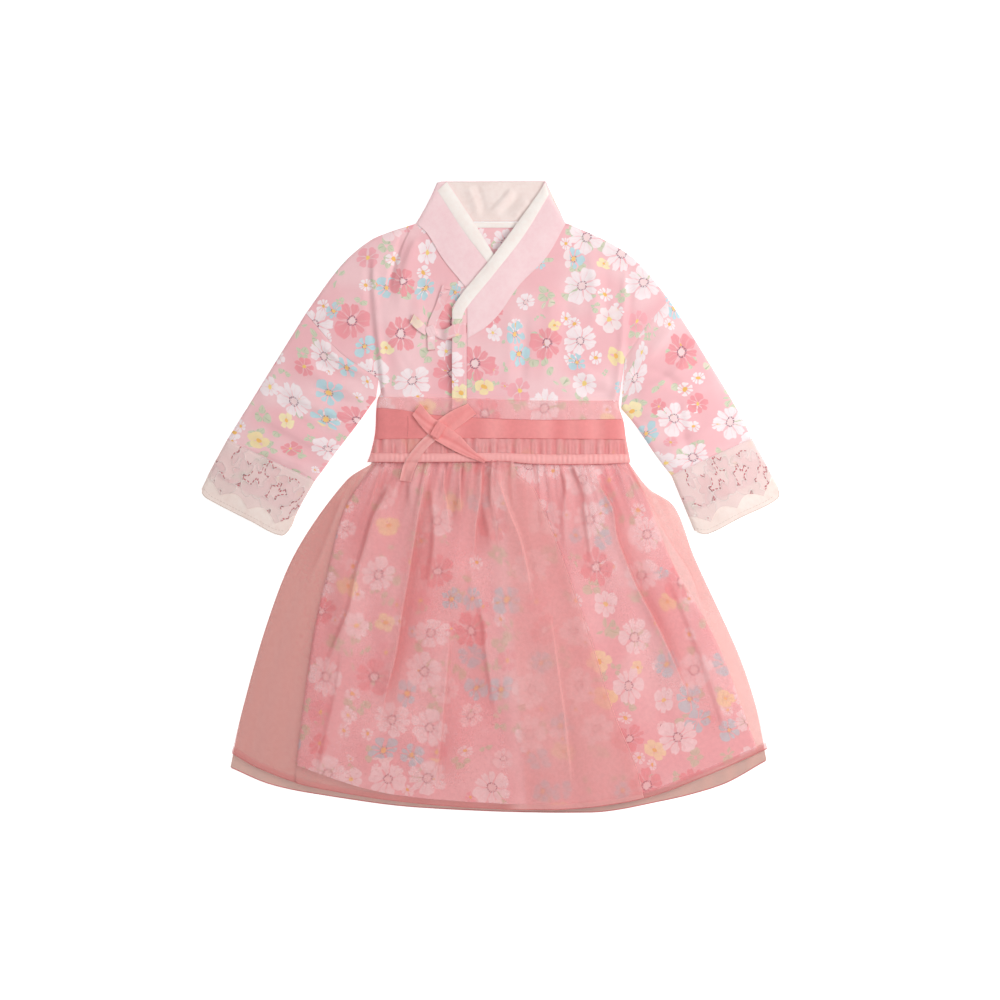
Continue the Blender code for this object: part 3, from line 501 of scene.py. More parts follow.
def ramp(value, low, high, fromValue=0.0, toValue=1.0):
    # a smooth step between two values
    return addNode(value.tree, "ShaderNodeMapRange", {
        "Value": value, "From Min": low, "From Max": high, "To Min": fromValue, "To Max": toValue,
    }, "Result", interpolation_type="SMOOTHSTEP")


def noise(vector, scale, detail):
    return addNode(vector.tree, "ShaderNodeTexNoise", {"Vector": vector, "Scale": scale, "Detail": detail},
                   "Fac", noise_dimensions="2D")


def mixColour(factor, a, b, blend="MIX"):
    return addNode(treeOf((factor, a, b)), "ShaderNodeMix", {0: factor, 6: a, 7: b}, 2,
                   data_type="RGBA", blend_type=blend)


def named(tree, sockets):
    return SimpleNamespace(**{socket.name: Signal(tree, socket) for socket in sockets if socket.name})


def newGroup(name, inputs, outputs):
    # inputs by what they start at: None for a vector, four channels for a colour
    tree = bpy.data.node_groups.new(name, "ShaderNodeTree")
    for label, start in inputs.items():
        kind = "Vector" if start is None else "Color" if isinstance(start, tuple) else "Float"
        socket = tree.interface.new_socket(label, in_out="INPUT", socket_type="NodeSocket" + kind)
        if start is not None:
            socket.default_value = start
    for label, kind in outputs.items():
        tree.interface.new_socket(label, in_out="OUTPUT", socket_type="NodeSocket" + kind)
    given = named(tree, tree.nodes.new("NodeGroupInput").outputs)
    return tree, given, tree.nodes.new("NodeGroupOutput").inputs


def useGroup(group, **values):
    tree = treeOf(values.values())
    made = addNode(tree, "ShaderNodeGroup", values, node_tree=group)
    return named(tree, made.socket.node.outputs)


def buildPlacesGroup():
    # one place to a cell: how far off it is, the room around it, and its own luck
    tree, given, out = newGroup(
        "blossomPlaces", dict(vector=None, cell=0.03, seed=0.0, spread=0.75),
        dict(local="Vector", centre="Vector", room="Float", pick="Float", turn="Float", shape="Float",
             tint="Float"))
    offset = addNode(tree, "ShaderNodeCombineXYZ", {0: given.seed, 1: given.seed * 1.7})
    scaled = vectorCalc("ADD", stretched(given.vector, 1.0 / given.cell), offset)
    inputs = {"Vector": scaled, "Scale": 1.0, "Randomness": given.spread}
    middle = addNode(tree, "ShaderNodeTexVoronoi", inputs, "Position", voronoi_dimensions="2D",
                     feature="F1")
    room = addNode(tree, "ShaderNodeTexVoronoi", inputs, "Radius", voronoi_dimensions="2D",
                   feature="N_SPHERE_RADIUS")
    luck = addNode(tree, "ShaderNodeTexWhiteNoise", {"Vector": middle}, "Value", noise_dimensions="2D")
    parts = addNode(tree, "ShaderNodeSeparateColor", {0: luck.other("Color")})
    return fill(tree, out, dict(
        local=stretched(vectorCalc("SUBTRACT", scaled, middle), given.cell),
        centre=stretched(vectorCalc("SUBTRACT", middle, offset), given.cell),
        room=room * given.cell, pick=luck, turn=parts, shape=parts.other(1), tint=parts.other(2)))


def buildBlossomGroup():
    # one flower or sprig of leaves, drawn around its place
    tree, given, out = newGroup("drawnBlossom", dict(
        under=(1, 1, 1, 1), local=None, reach=0.01, there=1.0, turn=0.0, shape=0.5, tint=0.5,
        petals=7.0, extraPetals=2.0, plump=0.9, start=0.1, notch=0.05, ragged=0.2, uneven=0.25, gone=0.0,
        leaf=0.0, squash=0.3, veins=0.0, cover=0.95, petalColour=(1, 1, 1, 1), otherColour=(1, 1, 1, 1),
        otherShare=0.3, veinColour=(0.8, 0.4, 0.4, 1), heartColour=(1, 0.6, 0.2, 1), heart=0.1,
        dotColour=(0.4, 0.1, 0.15, 1), dots=0.0), dict(colour="Color"))
    turned = addNode(tree, "ShaderNodeVectorRotate",
                     {"Vector": given.local, "Angle": given.turn * fullTurn}, rotation_type="Z_AXIS")
    x = addNode(tree, "ShaderNodeSeparateXYZ", {0: turned})
    y = x.other(1)
    x = x * (given.shape * given.squash + 1.0)
    here = calc("SQRT", x * x + y * y) / given.reach

    # which petal this is, how far from its middle line, and how long it is
    count = calc("FLOOR", given.tint * given.extraPetals + given.petals)
    angle = calc("ARCTAN2", y, x)
    sway = calc("SINE", angle * 2.0 + given.shape * 19.0)
    slot = ((sway * given.uneven + angle) / fullTurn + 4.5) * count
    side = abs(calc("FRACT", slot) - 0.5) * 2.0
    number = addNode(tree, "ShaderNodeCombineXYZ", {0: calc("MODULO", calc("FLOOR", slot), count),
                                                    1: given.turn * 91.0})
    luck = addNode(tree, "ShaderNodeTexWhiteNoise", {"Vector": number}, "Value", noise_dimensions="2D")
    length = 1.0 - given.ragged * luck
    tip = length - calc("POWER", side, 2.6) * 0.34 - given.notch * ramp(side, 0.0, 0.45, 1.0, 0.0)
    leafWidth = calc("SINE", (here - given.start) / (length - given.start) * math.pi)
    width = given.plump * ramp(given.leaf, 0.0, 1.0, ramp(here, 0.0, 0.75, 0.55, 1.0), leafWidth)
    lateral = side * ramp(given.leaf, 0.0, 1.0, 1.0, here)
    petals = (ramp(tip - here, -0.03, 0.03) * ramp(width - lateral, -0.05, 0.06)
              * ramp(here - given.start, -0.03, 0.03) * (luck > given.gone) * given.there)

    streak = abs(calc("FRACT", slot * 3.0) - 0.5)
    vein = ramp(streak, 0.05, 0.12, 1.0, 0.0) * ramp(here, 0.2, 0.35) * ramp(here, 0.6, 0.85, 1.0, 0.0)
    colour = mixColour(given.tint < given.otherShare, given.petalColour, given.otherColour)
    colour = mixColour(1.0, colour, ramp(here, 0.1, 0.9, 0.95, 1.02), "MULTIPLY")
    colour = mixColour(vein * given.veins, colour, given.veinColour)
    shown = mixColour(petals * given.cover, given.under, colour)
    shown = mixColour(ramp(given.heart - here, -0.03, 0.03) * given.there, shown, given.heartColour)
    ring = ramp(abs(here - given.heart - 0.05), 0.02, 0.06, 1.0, 0.0)
    dotted = ring * ramp(noise(given.local, 900.0, 0.0), 0.40, 0.56) * given.dots * given.there
    return fill(tree, out, dict(colour=mixColour(dotted, shown, given.dotColour)))


def buildWeaveGroup():
    # plain weave: threads over and under each other, and the slubs and soft unevenness of spun yarn
    tree, given, out = newGroup("plainWeave", dict(vector=None, thread=0.0005),
                                dict(height="Float", gaps="Float", uneven="Float"))
    seen = addNode(tree, "ShaderNodeSeparateXYZ", {0: stretched(given.vector, math.pi / given.thread)})
    warp = calc("SINE", seen)
    weft = calc("SINE", seen.other(1))
    over = warp * weft * 0.35 + 0.5
    slub = noise(given.vector, 240.0, 3.0)
    return fill(tree, out, dict(height=abs(warp) * over + abs(weft) * (1.0 - over) + slub * 0.4,
                                gaps=1.0 - calc("MAXIMUM", abs(warp), abs(weft)), uneven=slub))


places = buildPlacesGroup()
blossom = buildBlossomGroup()
weave = buildWeaveGroup()
white = srgb(255, 240, 242)
coral = srgb(247, 158, 165)
paleCoral = srgb(250, 176, 184)
skyBlue = srgb(188, 220, 228)
yellow = srgb(255, 238, 190)
orange = srgb(250, 196, 104)
mauve = srgb(154, 104, 120)
leafGreen = srgb(216, 218, 192)
stemGreen = srgb(176, 194, 154)
groundPink = srgb(250, 192, 197)
palePink = srgb(252, 208, 211)


def newMaterial(name, roughness, sheen=0.0, specular=0.3):
    made = bpy.data.materials.new(name)
    made.use_nodes = True
    shader = made.node_tree.nodes["Principled BSDF"].inputs
    fill(made.node_tree, shader, {"Roughness": roughness, "Metallic": 0.0, "Sheen Weight": sheen,
                                  "Sheen Roughness": 0.4, "Specular IOR Level": specular, "Alpha": 1.0})
    return made, made.node_tree, shader


def clothPlace(tree):
    return addNode(tree, "ShaderNodeUVMap", uv_map="cloth")


def attribute(tree, name):
    return addNode(tree, "ShaderNodeAttribute", output="Fac", attribute_name=name)


def bumped(height, distance):
    return addNode(height.tree, "ShaderNodeBump", {"Height": height, "Distance": distance})


# the flower print, in metres of cloth: cells that hold one flower each, and how large a flower grows
flowerPrint = {
    "small": dict(cell=0.022, seed=5.3, spread=0.75),     # leaves and daisies
    "middle": dict(cell=0.0310, seed=12.3, spread=0.50),
    "large": dict(cell=0.051, seed=41.5, spread=0.50),
    "leafReach": 0.0125,
    "daisyReach": 0.0078,
    "largeReach": 0.0215,
    "largeShare": 0.74,      # how many of the large cells hold a flower
    "overlap": 0.55,         # how much of a large flower others keep clear of
    "smallest": 0.0070,      # nothing grows where there is less room
    "wobble": 0.0030,        # how far outlines stray
}
# what grows in the middle cells, by the range of luck that picks it: from, to, largest radius, drawing
blossomKinds = [
    (0.00, 0.17, 0.0185, dict(petals=6.0, plump=0.84, start=0.14, notch=0.0, ragged=0.28, uneven=0.3,
                              petalColour=skyBlue, otherColour=srgb(192, 226, 234), otherShare=0.5,
                              heartColour=srgb(255, 206, 122), heart=0.17, dots=0.9,
                              dotColour=srgb(176, 104, 84))),
    (0.17, 0.24, 0.0170, dict(petals=6.0, plump=0.86, start=0.15, notch=0.0, ragged=0.28, uneven=0.3,
                              petalColour=skyBlue, otherColour=skyBlue, heartColour=palePink, heart=0.16)),
    (0.24, 0.37, 0.0138, dict(petals=3.0, plump=1.2, start=0.0, notch=0.03, ragged=0.22, uneven=0.35,
                              squash=0.45, petalColour=yellow, otherColour=srgb(255, 232, 178),
                              otherShare=0.4, heartColour=orange, heart=0.19)),
    (0.37, 0.52, 0.0145, dict(petals=5.0, extraPetals=3.0, plump=1.1, start=0.0, notch=0.03, ragged=0.15,
                              petalColour=white, otherColour=srgb(255, 236, 236), otherShare=0.4,
                              heartColour=srgb(255, 222, 134), heart=0.17)),
    (0.52, 0.61, 0.0135, dict(petals=5.0, extraPetals=3.0, plump=0.95, start=0.05, ragged=0.15,
                              petalColour=coral, otherColour=paleCoral, otherShare=0.5,
                              heartColour=srgb(255, 214, 120), heart=0.15)),
    (0.61, 0.75, 0.0175, dict(petals=6.0, extraPetals=3.0, plump=0.98, start=0.14, notch=0.06, ragged=0.22,
                              veins=0.3, petalColour=white, otherColour=srgb(255, 226, 228),
                              otherShare=0.35, veinColour=srgb(250, 204, 208),
                              heartColour=srgb(248, 216, 216), heart=0.18, dots=0.9, dotColour=mauve)),
    (0.75, 0.86, 0.0085, dict(petals=8.0, extraPetals=3.0, plump=0.72, start=0.12, ragged=0.12,
                              petalColour=white, otherColour=white, heartColour=orange, heart=0.26)),
    (0.86, 1.01, 0.0165, dict(petals=4.0, plump=0.24, start=0.16, ragged=0.35, uneven=0.4, gone=0.3,
                              leaf=1.0, veins=0.85, veinColour=stemGreen, petalColour=leafGreen,
                              otherColour=srgb(236, 226, 206), otherShare=0.4, heart=-1.0)),
]
smallLeaves = dict(petals=3.0, plump=0.42, start=0.12, gone=0.35, leaf=1.0, veins=0.7, veinColour=stemGreen,
                   petalColour=leafGreen, otherColour=leafGreen, heart=-1.0)
smallDaisy = dict(petals=6.0, extraPetals=3.0, plump=0.8, ragged=0.1, petalColour=white,
                  otherColour=paleCoral, otherShare=0.25, heartColour=orange, heart=0.24)
largeFlower = dict(petals=7.0, plump=1.00, start=0.15, notch=0.07, ragged=0.22, uneven=0.3, squash=0.22,
                   veins=0.35, petalColour=white, otherColour=coral, otherShare=0.36,
                   veinColour=srgb(250, 204, 208), heartColour=srgb(250, 222, 222), heart=0.16, dots=1.0,
                   dotColour=mauve)


def drawn(under, spot, room, most, there, kind):
    return useGroup(blossom, under=under, local=spot.local, reach=calc("MINIMUM", room, most), there=there,
                    turn=spot.turn, shape=spot.shape, tint=spot.tint, **kind).colour


def printedGround(cloth):
    # the print: small leaves and daisies first, then a flower to each middle cell, and the largest on top
    lay = flowerPrint
    colour = mixColour(ramp(noise(cloth, 14.0, 2.0), 0.35, 0.65), groundPink, palePink)
    astray = vectorCalc("SUBTRACT", noise(cloth, 130.0, 1.0).other("Color"), (0.5, 0.5, 0.5))
    cloth = vectorCalc("ADD", cloth, stretched(astray, lay["wobble"]))
    small = useGroup(places, vector=cloth, **lay["small"])
    colour = drawn(colour, small, small.room * 1.35, lay["leafReach"], small.pick < 0.45, smallLeaves)
    colour = drawn(colour, small, small.room, lay["daisyReach"], small.pick > 0.80, smallDaisy)
    spot = useGroup(places, vector=cloth, **lay["middle"])
    large = useGroup(places, vector=spot.centre, **lay["large"])
    taken = calc("MINIMUM", large.room * 1.2, lay["largeReach"]) * (large.pick < lay["largeShare"])
    clear = vectorCalc("LENGTH", large.local) - taken * lay["overlap"]
    room = calc("MINIMUM", spot.room * 1.30, clear)
    for low, high, most, kind in blossomKinds:
        there = (spot.pick > low) * (spot.pick < high) * (room > lay["smallest"])
        colour = drawn(colour, spot, room, most, there, kind)
    large = useGroup(places, vector=cloth, **lay["large"])
    there = large.pick < lay["largeShare"]
    return drawn(colour, large, large.room * 1.2, lay["largeReach"], there, largeFlower)


def printedCotton(name, faded=0.0):
    made, tree, shader = newMaterial(name, 0.62, sheen=0.15)
    cloth = clothPlace(tree)
    threads = useGroup(weave, vector=cloth, thread=0.00045)
    colour = mixColour(ramp(threads.uneven, 0.3, 0.7, 0.0, 0.07), printedGround(cloth), srgb(236, 184, 186))
    if faded:
        colour = mixColour(faded, colour, srgb(255, 222, 224))
    fill(tree, shader, {"Base Color": colour, "Roughness": ramp(threads.uneven, 0.2, 0.8, 0.55, 0.70),
                        "Normal": bumped(threads.height, 0.00012)})
    return made


def plainCloth(name, colour, darker, roughness, sheen):
    made, tree, shader = newMaterial(name, roughness, sheen=sheen)
    cloth = clothPlace(tree)
    threads = useGroup(weave, vector=cloth, thread=0.0004)
    factor = ramp(noise(cloth, 45.0, 3.0), 0.3, 0.7, 0.0, 0.5) + ramp(threads.uneven, 0.3, 0.8, 0.0, 0.4)
    fill(tree, shader, {"Base Color": mixColour(factor, srgb(*colour), srgb(*darker)),
                        "Roughness": ramp(threads.uneven, 0.2, 0.8, roughness - 0.06, roughness + 0.08),
                        "Normal": bumped(threads.height, 0.0001)})
    return made


def organza(name, colour, paintedHighlight, steep, thin, dense):
    # a sheer weave: denser where the cloth stands steep or is tucked under, and darker there as painted
    # shade; paler where crest is high, as a painted highlight
    made, tree, shader = newMaterial(name, 0.5, sheen=0.25)
    threads = useGroup(weave, vector=clothPlace(tree), thread=0.0007)
    crest = attribute(tree, "crest")
    densityAndShade = calc("MULTIPLY_ADD", attribute(tree, "tuck"), 0.75, attribute(tree, "slope") * 0.35, clamp=True)
    cover = densityAndShade * (dense - thin) + (thin + 0.01) + crest * 0.10 - threads.gaps * 0.05
    # painted shade: the darker steep colour, mixed in by tuck and slope
    shown = mixColour(densityAndShade, srgb(*colour), srgb(*steep))
    fill(tree, shader, {
        "Alpha": calc("ADD", cover, ramp(threads.uneven, 0.3, 0.7, -0.02, 0.02), clamp=True),
        # painted highlight: the paler colour, mixed in by crest
        "Base Color": mixColour(crest * 0.85, shown, srgb(*paintedHighlight)),
        "Normal": bumped(threads.height, 0.0001)})
    return made


def laceNet():
    # cotton lace: petals and leaves with a pale corded rim, and rows of short slits beside them
    made, tree, shader = newMaterial("cuffLace", 0.75, sheen=0.1)
    cloth = clothPlace(tree)
    edge = attribute(tree, "petalEdge")
    rung = abs(calc("FRACT", attribute(tree, "petalWay") / 2.6) - 0.5)
    row = ramp(edge, 0.2, 0.4) * ramp(edge, 0.95, 1.2, 1.0, 0.0) * ramp(noise(cloth, 75.0, 0.0), 0.44, 0.52)
    slit = row * ramp(rung, 0.26, 0.34, 1.0, 0.0)
    petal = ramp(edge, -0.35, 0.0, 1.0, 0.0)
    rim = ramp(abs(edge + 0.1), 0.15, 0.4, 0.8, 0.0)
    yarn = noise(cloth, 1200.0, 2.0)
    solid = mixColour(petal, srgb(254, 230, 226), srgb(253, 230, 227))
    solid = mixColour(rim, solid, srgb(255, 244, 239))
    solid = mixColour(ramp(yarn, 0.3, 0.7, 0.0, 0.22), solid, srgb(238, 200, 196))
    fill(tree, shader, {
        "Base Color": mixColour(slit, solid, srgb(208, 112, 120)),
        "Alpha": calc("MAXIMUM", 0.78 - petal * 0.12, calc("MAXIMUM", rim, slit) * 0.92),
        "Normal": bumped(rim - slit + yarn * 0.5, 0.0003)})
    return made


def sewingThread(name, colour):
    # twisted thread, coloured along the object
    made, tree, shader = newMaterial(name, 0.6, specular=0.5)
    place = addNode(tree, "ShaderNodeTexCoord", output="Object")
    twist = addNode(tree, "ShaderNodeTexNoise", {"Vector": place, "Scale": 1800.0}, "Fac")
    light = srgb(*colour)
    darker = tuple(channel * 0.72 for channel in light[:3]) + (1.0,)
    fill(tree, shader, {"Base Color": mixColour(ramp(twist, 0.35, 0.65), darker, light),
                        "Normal": bumped(twist, 0.0001)})
    return made


# plain cloths: colour, darker colour, roughness, sheen
plainCloths = {
    "collar": ("collarCotton", (255, 223, 225), (251, 211, 215), 0.5, 0.2),
    "cream": ("creamEdging", (255, 248, 242), (252, 238, 231), 0.55, 0.15),
    "lining": ("collarLining", (253, 236, 230), (246, 224, 217), 0.6, 0.1),
    "hem": ("cuffHem", (253, 236, 228), (246, 222, 213), 0.6, 0.1),
}
# sheer cloths: colour, the painted highlight colour of ridges, the colour of steep or tucked places (denser
# cloth with painted shade), cover where thin and where dense
sheerCloths = {
    "veil": ("coralOrganza", (250, 160, 157), (255, 192, 189), (212, 112, 111), 0.34, 0.80),
    "veilUnder": ("coralOrganzaUnder", (252, 168, 166), (255, 196, 194), (218, 118, 118), 0.30, 0.78),
    "veilBack": ("coralOrganzaBack", (216, 158, 142), (226, 172, 158), (188, 144, 131), 0.50, 0.92),
    "sash": ("coralSash", (246, 146, 146), (253, 170, 168), (232, 116, 118), 0.86, 0.98),
    "gather": ("coralGathers", (246, 152, 151), (255, 186, 183), (216, 112, 114), 0.62, 0.96),
    "elastic": ("elasticCasing", (247, 166, 164), (251, 186, 184), (232, 140, 141), 0.95, 1.0),
    "sheerBand": ("coralBand", (255, 180, 178), (255, 200, 198), (244, 150, 150), 0.34, 0.66),
    "bow": ("coralBow", (246, 144, 143), (255, 178, 174), (228, 110, 112), 0.90, 1.0),
    "bowSheer": ("coralBowTail", (255, 172, 169), (255, 200, 196), (240, 140, 140), 0.74, 0.9),
}
threadColours = {
    "rolled": ("rolledHem", (222, 130, 128)),
    # a paler copy of the rolled hem's thread: a painted highlight along the overskirt's front edge
    "rolledPaintedHighlight": ("rolledFront", (255, 190, 187)),
    "coralThread": ("coralThread", (222, 112, 116)),
    "seamPink": ("seamPink", (232, 150, 156)),
    "pinkThread": ("pinkThread", (255, 226, 226)),
    "creamThread": ("creamThread", (236, 212, 200)),
}
looks = {"printed": printedCotton("printedCotton"), "printedPale": printedCotton("printedCottonPale", 0.5),
         "lace": laceNet()}
for build, table in ((plainCloth, plainCloths), (organza, sheerCloths), (sewingThread, threadColours)):
    for look, values in table.items():
        looks[look] = build(*values)
print("materials made")


# ---- cloth meshes

def newSheet(name, across, down):
    # a flat grid, and for each of its corners u from 0 to 1 across and v from 0 at the top to 1
    mesh = bmesh.new()
    bmesh.ops.create_grid(mesh, x_segments=across, y_segments=down, size=0.5)
    data = bpy.data.meshes.new(name)
    mesh.to_mesh(data)
    mesh.free()
    flat = np.empty(len(data.vertices) * 3)
    data.vertices.foreach_get("co", flat)
    flat = flat.reshape(-1, 3)
    return data, flat[:, 0] + 0.5, 0.5 - flat[:, 1]


def setValues(data, values):
    # named values, each one number or one for each corner
    for name, value in values.items():
        layer = data.attributes.new(name, "FLOAT", "POINT")
        value = np.broadcast_to(np.asarray(value, np.float32), len(data.vertices))
        layer.data.foreach_set("value", value.copy())


def setCloth(data, places, cloth):
    # places in millimetres, and each corner's place on the cut cloth, also in millimetres
    data.vertices.foreach_set("co", (np.asarray(places) * mm).ravel())
    corners = np.empty(len(data.loops), int)
    data.loops.foreach_get("vertex_index", corners)
    layer = data.uv_layers.new(name="cloth")
    layer.data.foreach_set("uv", (np.asarray(cloth) * mm)[corners].ravel())
    data.update()


def standing(data, amount):
    # how steep the cloth stands at each corner: 0 where it is level
    facing = np.empty(len(data.vertices) * 3)
    data.vertices.foreach_get("normal", facing)
    up = np.clip(np.abs(facing[2::3]), 0.15, 1)
    return np.clip((1 / up - 1) * amount, 0, 1)


def addObject(name, data):
    made = bpy.data.objects.new(name, data)
    bpy.context.scene.collection.objects.link(made)
    return made


def addPiece(name, data, look, flip=False, merge=False, wall=None, edge=0.0):
    mesh = bmesh.new()
    mesh.from_mesh(data)
    if merge:
        bmesh.ops.remove_doubles(mesh, verts=mesh.verts, dist=1e-6)
    if flip:
        bmesh.ops.reverse_faces(mesh, faces=mesh.faces)
    mesh.to_mesh(data)
    mesh.free()
    data.shade_smooth()
    data.materials.append(look)
    piece = addObject(name, data)
    if wall:
        solid = piece.modifiers.new("wall", "SOLIDIFY")
        solid.thickness = wall * mm
        solid.offset = -1
        solid.use_even_offset = True
    if edge:
        soft = piece.modifiers.new("edge", "BEVEL")
        soft.width = edge * mm
        soft.segments = 2
        soft.limit_method = "ANGLE"
        soft.angle_limit = math.radians(50)
    return piece


def turnedCloth(xy, degrees, shift=(0, 0)):
    turn = math.radians(degrees)
    x, y = xy[:, 0], xy[:, 1]
    return np.stack([x * math.cos(turn) - y * math.sin(turn) + shift[0],
                     x * math.sin(turn) + y * math.cos(turn) + shift[1]], -1)


def crowded(u, share=0.6):
    # columns that lie closer together near both sides
    return u * (1 - share) + (0.5 - 0.5 * np.cos(math.pi * u)) * share


def laySheet(name, surface, across, down, top, look, turn=0, shift=(0, 0), edges=0.6, crest=None,
             tuck=None, steep=1.5, **rest):
    data, u, v = newSheet(name, across, down)
    u = crowded(u, edges)
    xy = surface(u, v)
    x, y = xy[:, 0], xy[:, 1]
    setCloth(data, np.column_stack([xy, top(x, y)]), turnedCloth(xy, turn, shift))
    # crest carries a painted highlight; slope and tuck make sheer cloth denser, and tuck also carries
    # painted shade
    if crest:
        setValues(data, {"slope": standing(data, steep), "crest": np.clip(crest(x, y), 0, 1),
                         "tuck": np.clip(tuck(x, y), 0, 1) if tuck else 0})
    return addPiece(name, data, look, **rest)


def layCords(name, routes, radius, look, sides=2):
    # thin round cords, all in one mesh, along routes of places in millimetres
    curve = bpy.data.curves.new(name, "CURVE")
    curve.dimensions = "3D"
    curve.bevel_depth = radius * mm
    curve.bevel_resolution = sides
    curve.use_fill_caps = True
    for route in routes:
        route = np.asarray(route, float) * mm
        spline = curve.splines.new("POLY")
        spline.points.add(len(route) - 1)
        spline.points.foreach_set("co", np.column_stack([route, np.ones(len(route))]).ravel())
    holder = addObject(name + "Curve", curve)
    bpy.context.view_layer.update()
    data = bpy.data.meshes.new_from_object(holder.evaluated_get(bpy.context.evaluated_depsgraph_get()))
    data.name = name
    bpy.data.objects.remove(holder)
    bpy.data.curves.remove(curve)
    data.shade_smooth()
    data.materials.clear()
    data.materials.append(look)
    return addObject(name, data)


def onTop(line, top, count, rise=0.0, partFrom=0.0, partTo=1.0):
    xy = line.at(np.linspace(partFrom, partTo, count))
    return np.column_stack([xy, top(xy[:, 0], xy[:, 1]) + rise])


def stitches(line, top, length=2.2, step=3.4):
    # short stitches one after the other, each a little below the cloth at its ends
    rows = []
    for i in range(int(line.length / step)):
        start = (i * step + 0.5) / line.length
        route = onTop(line, top, 4, 0.15, start, start + length / line.length)
        route[[0, -1], 2] -= 0.25
        rows.append(route)
    return rows


def attach(piece, slot, *nodes):
    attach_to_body(piece, "root")
    if nodes:
        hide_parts(*nodes)


def declare(piece, nodes, slot, area=None, withPieces=()):
    # a piece of cloth, and what is sewn to it
    attach(piece, slot, *nodes)
    extra = {"area": area} if area else {}
    if withPieces:
        extra["with_pieces"] = list(withPieces)


# ---- body of the jacket

bodice = {
    "back": dict(across=90, down=96, turn=0, shift=(13, 40)),
    "right": dict(across=96, down=150, turn=2, shift=(71, 22)),
    "left": dict(across=104, down=150, turn=-3, shift=(240, 95)),
    "placket": dict(across=12, down=130, shift=(33, 5), wall=1.5, edge=0.5),
    "wall": 0.7,
    "end": 0.978,        # how much of each piece's length shows before it ends under the elastic
}


def backTop(x, y):
    return backBase(x, y) + 0.35 * ease(edgeDistance(x, y) / 30) * (1 + ripples(x, y, 55, 31)) * 0.5


def layBodice(name, part, top, *lines, flip=False):
    return laySheet(name, partOf(between(*lines), vTo=bodice["end"]), top=top, look=looks["printed"],
                    wall=bodice["wall"], flip=flip, **bodice[part])


def buildBodice():
    outerRight = Line(shoulderRight, dropSeamRight, [dropSeamRight[-1], sideRight[0]], sideRight)
    outerLeft = Line(shoulderLeft, dropSeamLeft, [dropSeamLeft[-1], sideLeft[0]], sideLeft)
    back = layBodice("bodiceBack", "back", backTop, straight(shoulderRight[0], shoulderLeft[0]),
                     straight(sideRight[-1], sideLeft[-1]), outerRight, outerLeft, flip=True)
    declare(back, ["bodice_back"], "printed_cotton", area=0.062)

    front = layBodice("bodiceFrontRight", "right", rightFrontTop,
                      straight(shoulderRight[0], bandSeamRight[0]),
                      straight(sideRight[-1], frontEdgeRight[-1]), outerRight,
                      Line(bandSeamRight, frontEdgeRight))
    declare(front, ["bodice_front_right"], "printed_cotton",
            area=0.036)

    atWaist = (bandSeamLeft[-1][0], waistY)
    front = layBodice("bodiceFrontLeft", "left", leftFrontTop, straight(bandSeamLeft[0], shoulderLeft[0]),
                      straight(atWaist, sideLeft[-1]), Line(bandSeamLeft, [bandSeamLeft[-1], atWaist]),
                      outerLeft)
    declare(front, ["bodice_front_left"], "printed_cotton",
            area=0.042)

    edge = straight(placketEdge, (placketEdge[0], waistY))
    seam = straight((placketSeam[0] + 1.2, placketSeam[1]), (placketSeam[0] + 1.2, waistY))
    strip = laySheet("frontPlacket", partOf(stripOf(edge, seam), vTo=0.96), top=placketTopAt,
                     look=looks["printed"], **bodice["placket"])
    sewn = straight((placketSeam[0] - 2.2, 155), (placketSeam[0] - 2.2, waistY + 66))
    row = layCords("placketStitches", stitches(sewn, placketTopAt), 0.22, looks["pinkThread"], sides=1)
    attach(row, "printed_cotton")
    declare(strip, ["front_placket"], "printed_cotton",
            withPieces=[row])
    print("body made")


# ---- sleeves and cuffs

sleeves = {
    "around": 140,
    "down": 120,
    "flat": (0.20, 0.165),
    "area": 0.0275,
    "right": dict(shift=(400, 60)),
    "left": dict(shift=(620, 180)),
}
cuffs = {
    "around": 300,
    "down": 84,
    "half": 96,          # flat width of half the cuff, and its length along the arm
    "length": 50,
    "laceRise": 0.95,
    "hemRise": 0.45,
    "hemStart": 0.62,    # where the plain hem under the lace's edge starts
    "scallop": (0.73, 0.13, 28),   # the lace's edge: where it ends, how much longer its points are, spacing
    "flat": (0.20, 0.055),
    "hemFlat": (0.20, 0.022),
}
# sprigs of lace leaves: place across half a cuff and down it, from 0 to 1, leaf length, turn, leaves and
# the angle between them
laceSprigs = [
    (0.02, 0.42, 15, 70, 3, 58), (0.17, 0.10, 11, 20, 3, 64), (0.19, 0.80, 15, -80, 5, 44),
    (0.33, 0.40, 14, -150, 4, 52), (0.40, 0.05, 10, 60, 3, 60), (0.49, 0.66, 16, -100, 3, 50),
    (0.55, 0.26, 13, -20, 4, 58), (0.70, 0.72, 14, -60, 5, 46), (0.77, 0.16, 12, 90, 4, 55),
    (0.88, 0.46, 15, -130, 3, 56), (0.97, 0.84, 13, -90, 4, 48),
]


def layTube(name, surface, around, down, top, bottom, look, cut, values=None, reach=None, **rest):
    # a flattened tube: the front from its outer side to its inner one, then the back the other way
    data, u, v = newSheet(name, around, down)
    front = u <= 0.5
    part = crowded(np.where(front, u * 2, 2 - u * 2), 0.75)
    width, length, shift = cut
    across = np.where(front, part, 2 - part) * width
    v = v * reach(across) if reach else v
    xy = surface(part, v)
    extra = values(across, v * length) if values else {}
    rise = extra.pop("rise", 0)
    z = np.where(front, top(xy[:, 0], xy[:, 1]) + rise, bottom(xy[:, 0], xy[:, 1]) - 0.3 * rise)
    setCloth(data, np.column_stack([xy, z]), np.stack([across + shift[0], -v * length + shift[1]], -1))
    setValues(data, extra)
    return addPiece(name, data, look, merge=True, **rest)


def scallops(across):
    end, point, step = cuffs["scallop"]
    return end + point * (1 - np.abs(np.sin(math.pi * (across / step + 0.3))))


